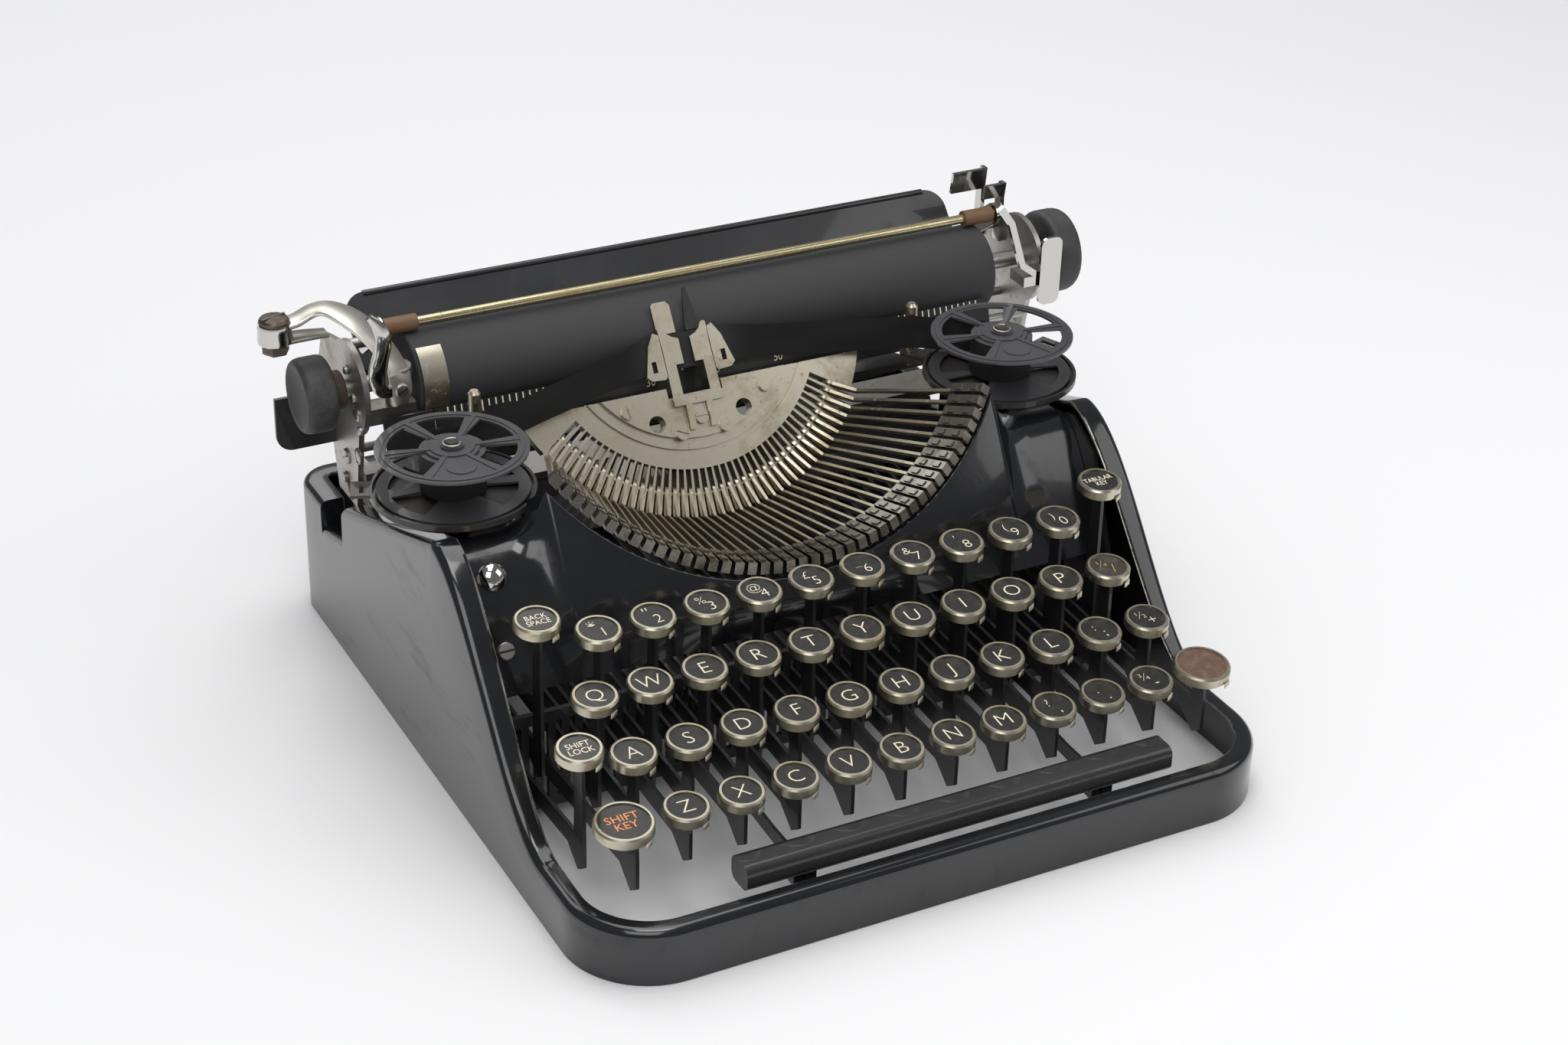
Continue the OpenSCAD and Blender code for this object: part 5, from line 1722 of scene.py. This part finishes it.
@dataclass
class Carriage(Piece):
    """Carriage with paper table, scale, bail and end screws."""

    label: str = "carriage"
    finger_r: Span = (16.2, 17.4)
    finger_x: Span = (-114.5, -104.0)
    table: Zone = Zone(mid=CARRIAGE_X, both=True, x=(-1, END_X - 9), y=(242.5, FAR), z=(93, FAR))
    table_foot: Span = (243.0, 95.0)
    table_lean: float = 0.94
    table_t: float = 3.5
    # Scale: lower and upper edge of its plate as Y and Z, then its ticks.
    scale_foot: Span = (203.2, 85.0)
    scale_top: Span = (207.2, 98.0)
    ticks: int = 84
    tick_first: float = -105.6
    tick_pitch: float = 2.54
    tick_w: float = 0.5
    tick_tall: float = 3.8
    tick_short: float = 2.4
    tick_edge: float = 0.3
    tick_out: float = 0.08
    figure_out: float = 0.1
    figure_lean: float = 0.6
    # Rise above the foot and height of the two rows of figures.
    figures: Tuple[Span, ...] = ((7.4, 4.4), (2.6, 3.8))
    # X from the carriage's middle and width of the guard's black end.
    guard: Tuple[Span, ...] = ((-129.0, 10.6), (-127.6, 13.4), (-110.8, 13.4))
    # Y, Z, radius and turn of the slot's black strip of painted shade, in degrees; 0 is a plain rivet.
    end_screws: Tuple[Row, ...] = (
        (215.3, 97.1, 2.4, 20), (213.0, 92.0, 1.7, 0), (216.2, 80.7, 2.9, 65), (228.5, 74.8, 2.9, -30),
        (225.3, 109.8, 1.7, 0), (218.1, 102.2, 1.5, 0))

    def on_table(self, p: Vector, n: Vector) -> bool:
        """Tells whether a face is the leaning paper table's."""
        lean = self.table_foot[0] + (p.z - self.table_foot[1]) * self.table_lean
        return self.table(p, n) and p.y > lean - self.table_t

    def on_finger(self, p: Vector, n: Vector) -> bool:
        """Tells whether a face is the paper finger's."""
        r = math.hypot(p.y - PLATEN_Y, p.z - PLATEN_Z)
        across = self.finger_x[0] < p.x - CARRIAGE_X < self.finger_x[1]
        return across and self.finger_r[0] < r < self.finger_r[1]

    def build(self) -> None:
        """Paints the carriage and adds scale and screws."""
        mid, stem = CARRIAGE_X, (END_X - 1.8, END_X - 0.03)
        levers = either(
            Zone(mid=mid, x=(108, FAR), y=(-FAR, 208)),
            Zone(mid=mid, x=stem, y=(233, 241), z=(102.5, FAR)),
            Zone(mid=mid, x=stem, y=(247, FAR), z=(102.5, FAR)),
            Zone(mid=mid, x=(117, END_X - 0.03), y=(233, FAR), z=(121, FAR)))
        wing = Zone(mid=mid, x=(-FAR, -END_X - 2.2), y=(238, FAR))
        plate = Zone(mid=mid, both=True, x=(-1, 111), y=(-FAR, 209), z=(84, 98.2))
        rolls = Zone(mid=mid, both=True, x=(-1, 102), y=(211.5, 241), z=(77, 91), sideways=0.2)
        sleeve = Zone(mid=mid, both=True, x=(108.5, 121.2))
        arm = Zone(mid=mid, both=True, x=(121.5, FAR))
        Painter.paint("platen_frame", STEEL, [
            (self.on_finger, NICKEL), (levers, CHROME), (self.on_table, TABLE), (wing, BLACK), (plate, BLACK),
            (rolls, ROLLER)])
        Painter.paint("carriage_bed", STEEL)
        Painter.paint("paper_bail", BRASS, [(sleeve, COPPER), (arm, CHROME)])
        self.scale()
        self.screws()

    def scale(self) -> None:
        """Adds ticks and figures to the line scale, and the black end of its guard."""
        foot, top = Vector(self.scale_foot), Vector(self.scale_top)
        up = (top - foot).normalized()
        out = Vector((-up.y, up.x))
        tilt = math.atan2(up.y, up.x)
        parts = []
        for i in range(self.ticks):
            x = CARRIAGE_X + self.tick_first + i * self.tick_pitch
            tall = self.tick_tall if i % 5 == 0 else self.tick_short
            spots = [top - up * d + out * self.tick_out for d in (self.tick_edge, self.tick_edge + tall)]
            ends = [(x, e.x, e.y) for e in spots]
            parts.append(Maker.line(f"tick{i}", ends, (1, 0, 0), self.tick_w, 0.05, CREAM))
            if i % 10 == 0 and i > 0:
                for row, (rise, high) in enumerate(self.figures):
                    c = foot + up * rise + out * self.figure_out
                    place = Matrix.Translation(metres(x + self.figure_lean * row, c.x, c.y))
                    place = place @ Matrix.Rotation(tilt, 4, "X")
                    parts.append(Maker.words(f"figure{i}_{row}", str(i), place, high, CREAM, 0.85))
        self.ride(Maker.join("scale_print", parts), Body.CARRIAGE, "steel")
        mid = (foot + top) / 2 - out * 0.5
        path = [(CARRIAGE_X + x, mid.x, mid.y) for x, _ in self.guard]
        wide, width = [(0, up.x, up.y)] * len(path), [w for _, w in self.guard]
        guard = Maker.strip("guard_end", path, wide, width, 1.0, BLACK, bevel=0.3)
        self.ride(guard, Body.CARRIAGE, "steel")

    def screws(self) -> None:
        """Adds screws, each with a thin black strip painted as the shade in its slot, and rivets to the left
        end plate.
        """
        side = CARRIAGE_X - END_X - 2.0
        for i, (y, z, r, turn) in enumerate(self.end_screws):
            head = [(r, -0.4), (r, 0.6), (r * 0.86, 1.0), (r * 0.45, 1.2), (0.0, 1.25)]
            parts = [Maker.lathe(f"end_head{i}", head, (side, y, z), (-1, 0, 0), STEEL, 24)]
            # The slot is not cut: a thin black strip on the head is painted shade standing in for it.
            if turn:
                c, s = math.cos(math.radians(turn)), math.sin(math.radians(turn))
                ends = [(side - 1.2, y + q * r * 0.8 * c, z + q * r * 0.8 * s) for q in (-1, 1)]
                parts.append(Maker.line(f"end_slot{i}", ends, (0, -s, c), 0.6, 0.16, BLACK))
            self.ride(Maker.join(f"end_screw{i}", parts), Body.CARRIAGE, "steel")


@dataclass
class SpaceBar(Piece):
    """Space bar and its arms."""

    label: str = "space bar"

    def build(self) -> None:
        """Paints the space bar."""
        Painter.paint("space_bar", BLACK)


@dataclass(frozen=True)
class Lamp:
    """One soft area light: place, aim and side in machine millimetres, and watts."""

    name: str
    place: Point
    aim: Point
    side: float
    watts: float

    def hang(self) -> None:
        """Adds the light to the scene."""
        data = bpy.data.lights.new(self.name, "AREA")
        data.energy = self.watts
        data.size = self.side / MM
        made = Maker.show(self.name, data)
        made.location = metres(*self.place)
        made.rotation_mode = "QUATERNION"
        made.rotation_quaternion = (metres(*self.aim) - metres(*self.place)).to_track_quat("-Z", "Y")


@dataclass
class Studio(Piece):
    """Ground, light and camera."""

    label: str = "studio"
    target: Point = (16.93, 157.15, 52.77)
    azimuth: float = -28.39
    elevation: float = 29.2
    roll: float = 1.73
    distance: float = 1012.7
    lens: float = 65.96
    ground_half: float = 30000.0
    ground_z: float = -0.02
    sky_colour: Colour = (0.95, 0.96, 1.0)
    sky_level: float = 0.8
    sky_dim: float = 0.62
    lamps: Tuple[Lamp, ...] = (
        Lamp("key_light", (-420, -500, 900), (0, 120, 40), 620, 3.1),
        Lamp("top_light", (-20, 0, 1300), (0, 40, 0), 460, 3.5),
        Lamp("fill_light", (620, -260, 620), (20, 120, 40), 520, 1.4),
        Lamp("back_light", (160, 520, 1250), (0, 150, 60), 700, 3.8),
        Lamp("far_light", (0, 2300, 1700), (0, 1900, 0), 1600, 15.0))

    def build(self) -> None:
        """Sets ground, lamps, sky and camera."""
        self.ground()
        for lamp in self.lamps:
            lamp.hang()
        self.sky()
        self.camera()

    def ground(self) -> None:
        """Makes the ground."""
        h = self.ground_half
        rows = [[(x, y, self.ground_z) for y in (-h, 0, h)] for x in (-h, h)]
        points, faces = Maker.rings(rows, False, False)
        Maker.mesh("ground", points, faces, FLOOR, 80.0)

    def sky(self) -> None:
        """Sets an even surround, dimmer in reflections."""
        world = bpy.data.worlds.new("surround")
        bpy.context.scene.world = world
        g = Graph(world, "Background")
        glossy = g.add("LightPath", out="Is Glossy Ray")
        g.shade({"Color": self.sky_colour, "Strength": self.sky_level - glossy * self.sky_dim})

    def camera(self) -> None:
        """Sets the camera to the photograph's view."""
        a, e, r = math.radians(self.azimuth), math.radians(self.elevation), math.radians(self.roll)
        back = Vector((math.sin(a) * math.cos(e), -math.cos(a) * math.cos(e), math.sin(e)))
        right = Vector((math.cos(a), math.sin(a), 0))
        up = back.cross(right)
        side, top = right * math.cos(r) + up * math.sin(r), up * math.cos(r) - right * math.sin(r)
        data = bpy.data.cameras.new("camera")
        data.sensor_width = 36.0
        data.lens = self.lens
        data.clip_start, data.clip_end = 0.01, 50.0
        made = Maker.show("camera", data)
        spot = metres(*self.target) + back * self.distance / MM
        made.matrix_world = Matrix.Translation(spot) @ Matrix((side, top, back)).transposed().to_4x4()
        bpy.context.scene.camera = made


@dataclass
class Typewriter:
    """The whole machine and its studio."""

    pieces: List[Piece] = field(default_factory=lambda: [
        Studio(), Casing(), FrontPanel(), Chassis(), Keyboard(), SpaceBar(), TypeWorks(), Spools(), Ribbon(),
        Platen(), ReturnLever(), Carriage(),
    ])

    def build(self) -> None:
        """Builds every sub-assembly."""
        for piece in self.pieces:
            LOG.info("building %s", piece.label)
            piece.build()


def main() -> None:
    """Builds the scene."""
    logging.basicConfig(level=logging.INFO, format="%(message)s")
    bpy.context.scene.view_settings.view_transform = "Standard"
    for name in ("Cube", "Light", "Camera"):
        if name in bpy.data.objects:
            bpy.data.objects.remove(bpy.data.objects[name])
    Typewriter().build()


if __name__ == "__main__":
    main()
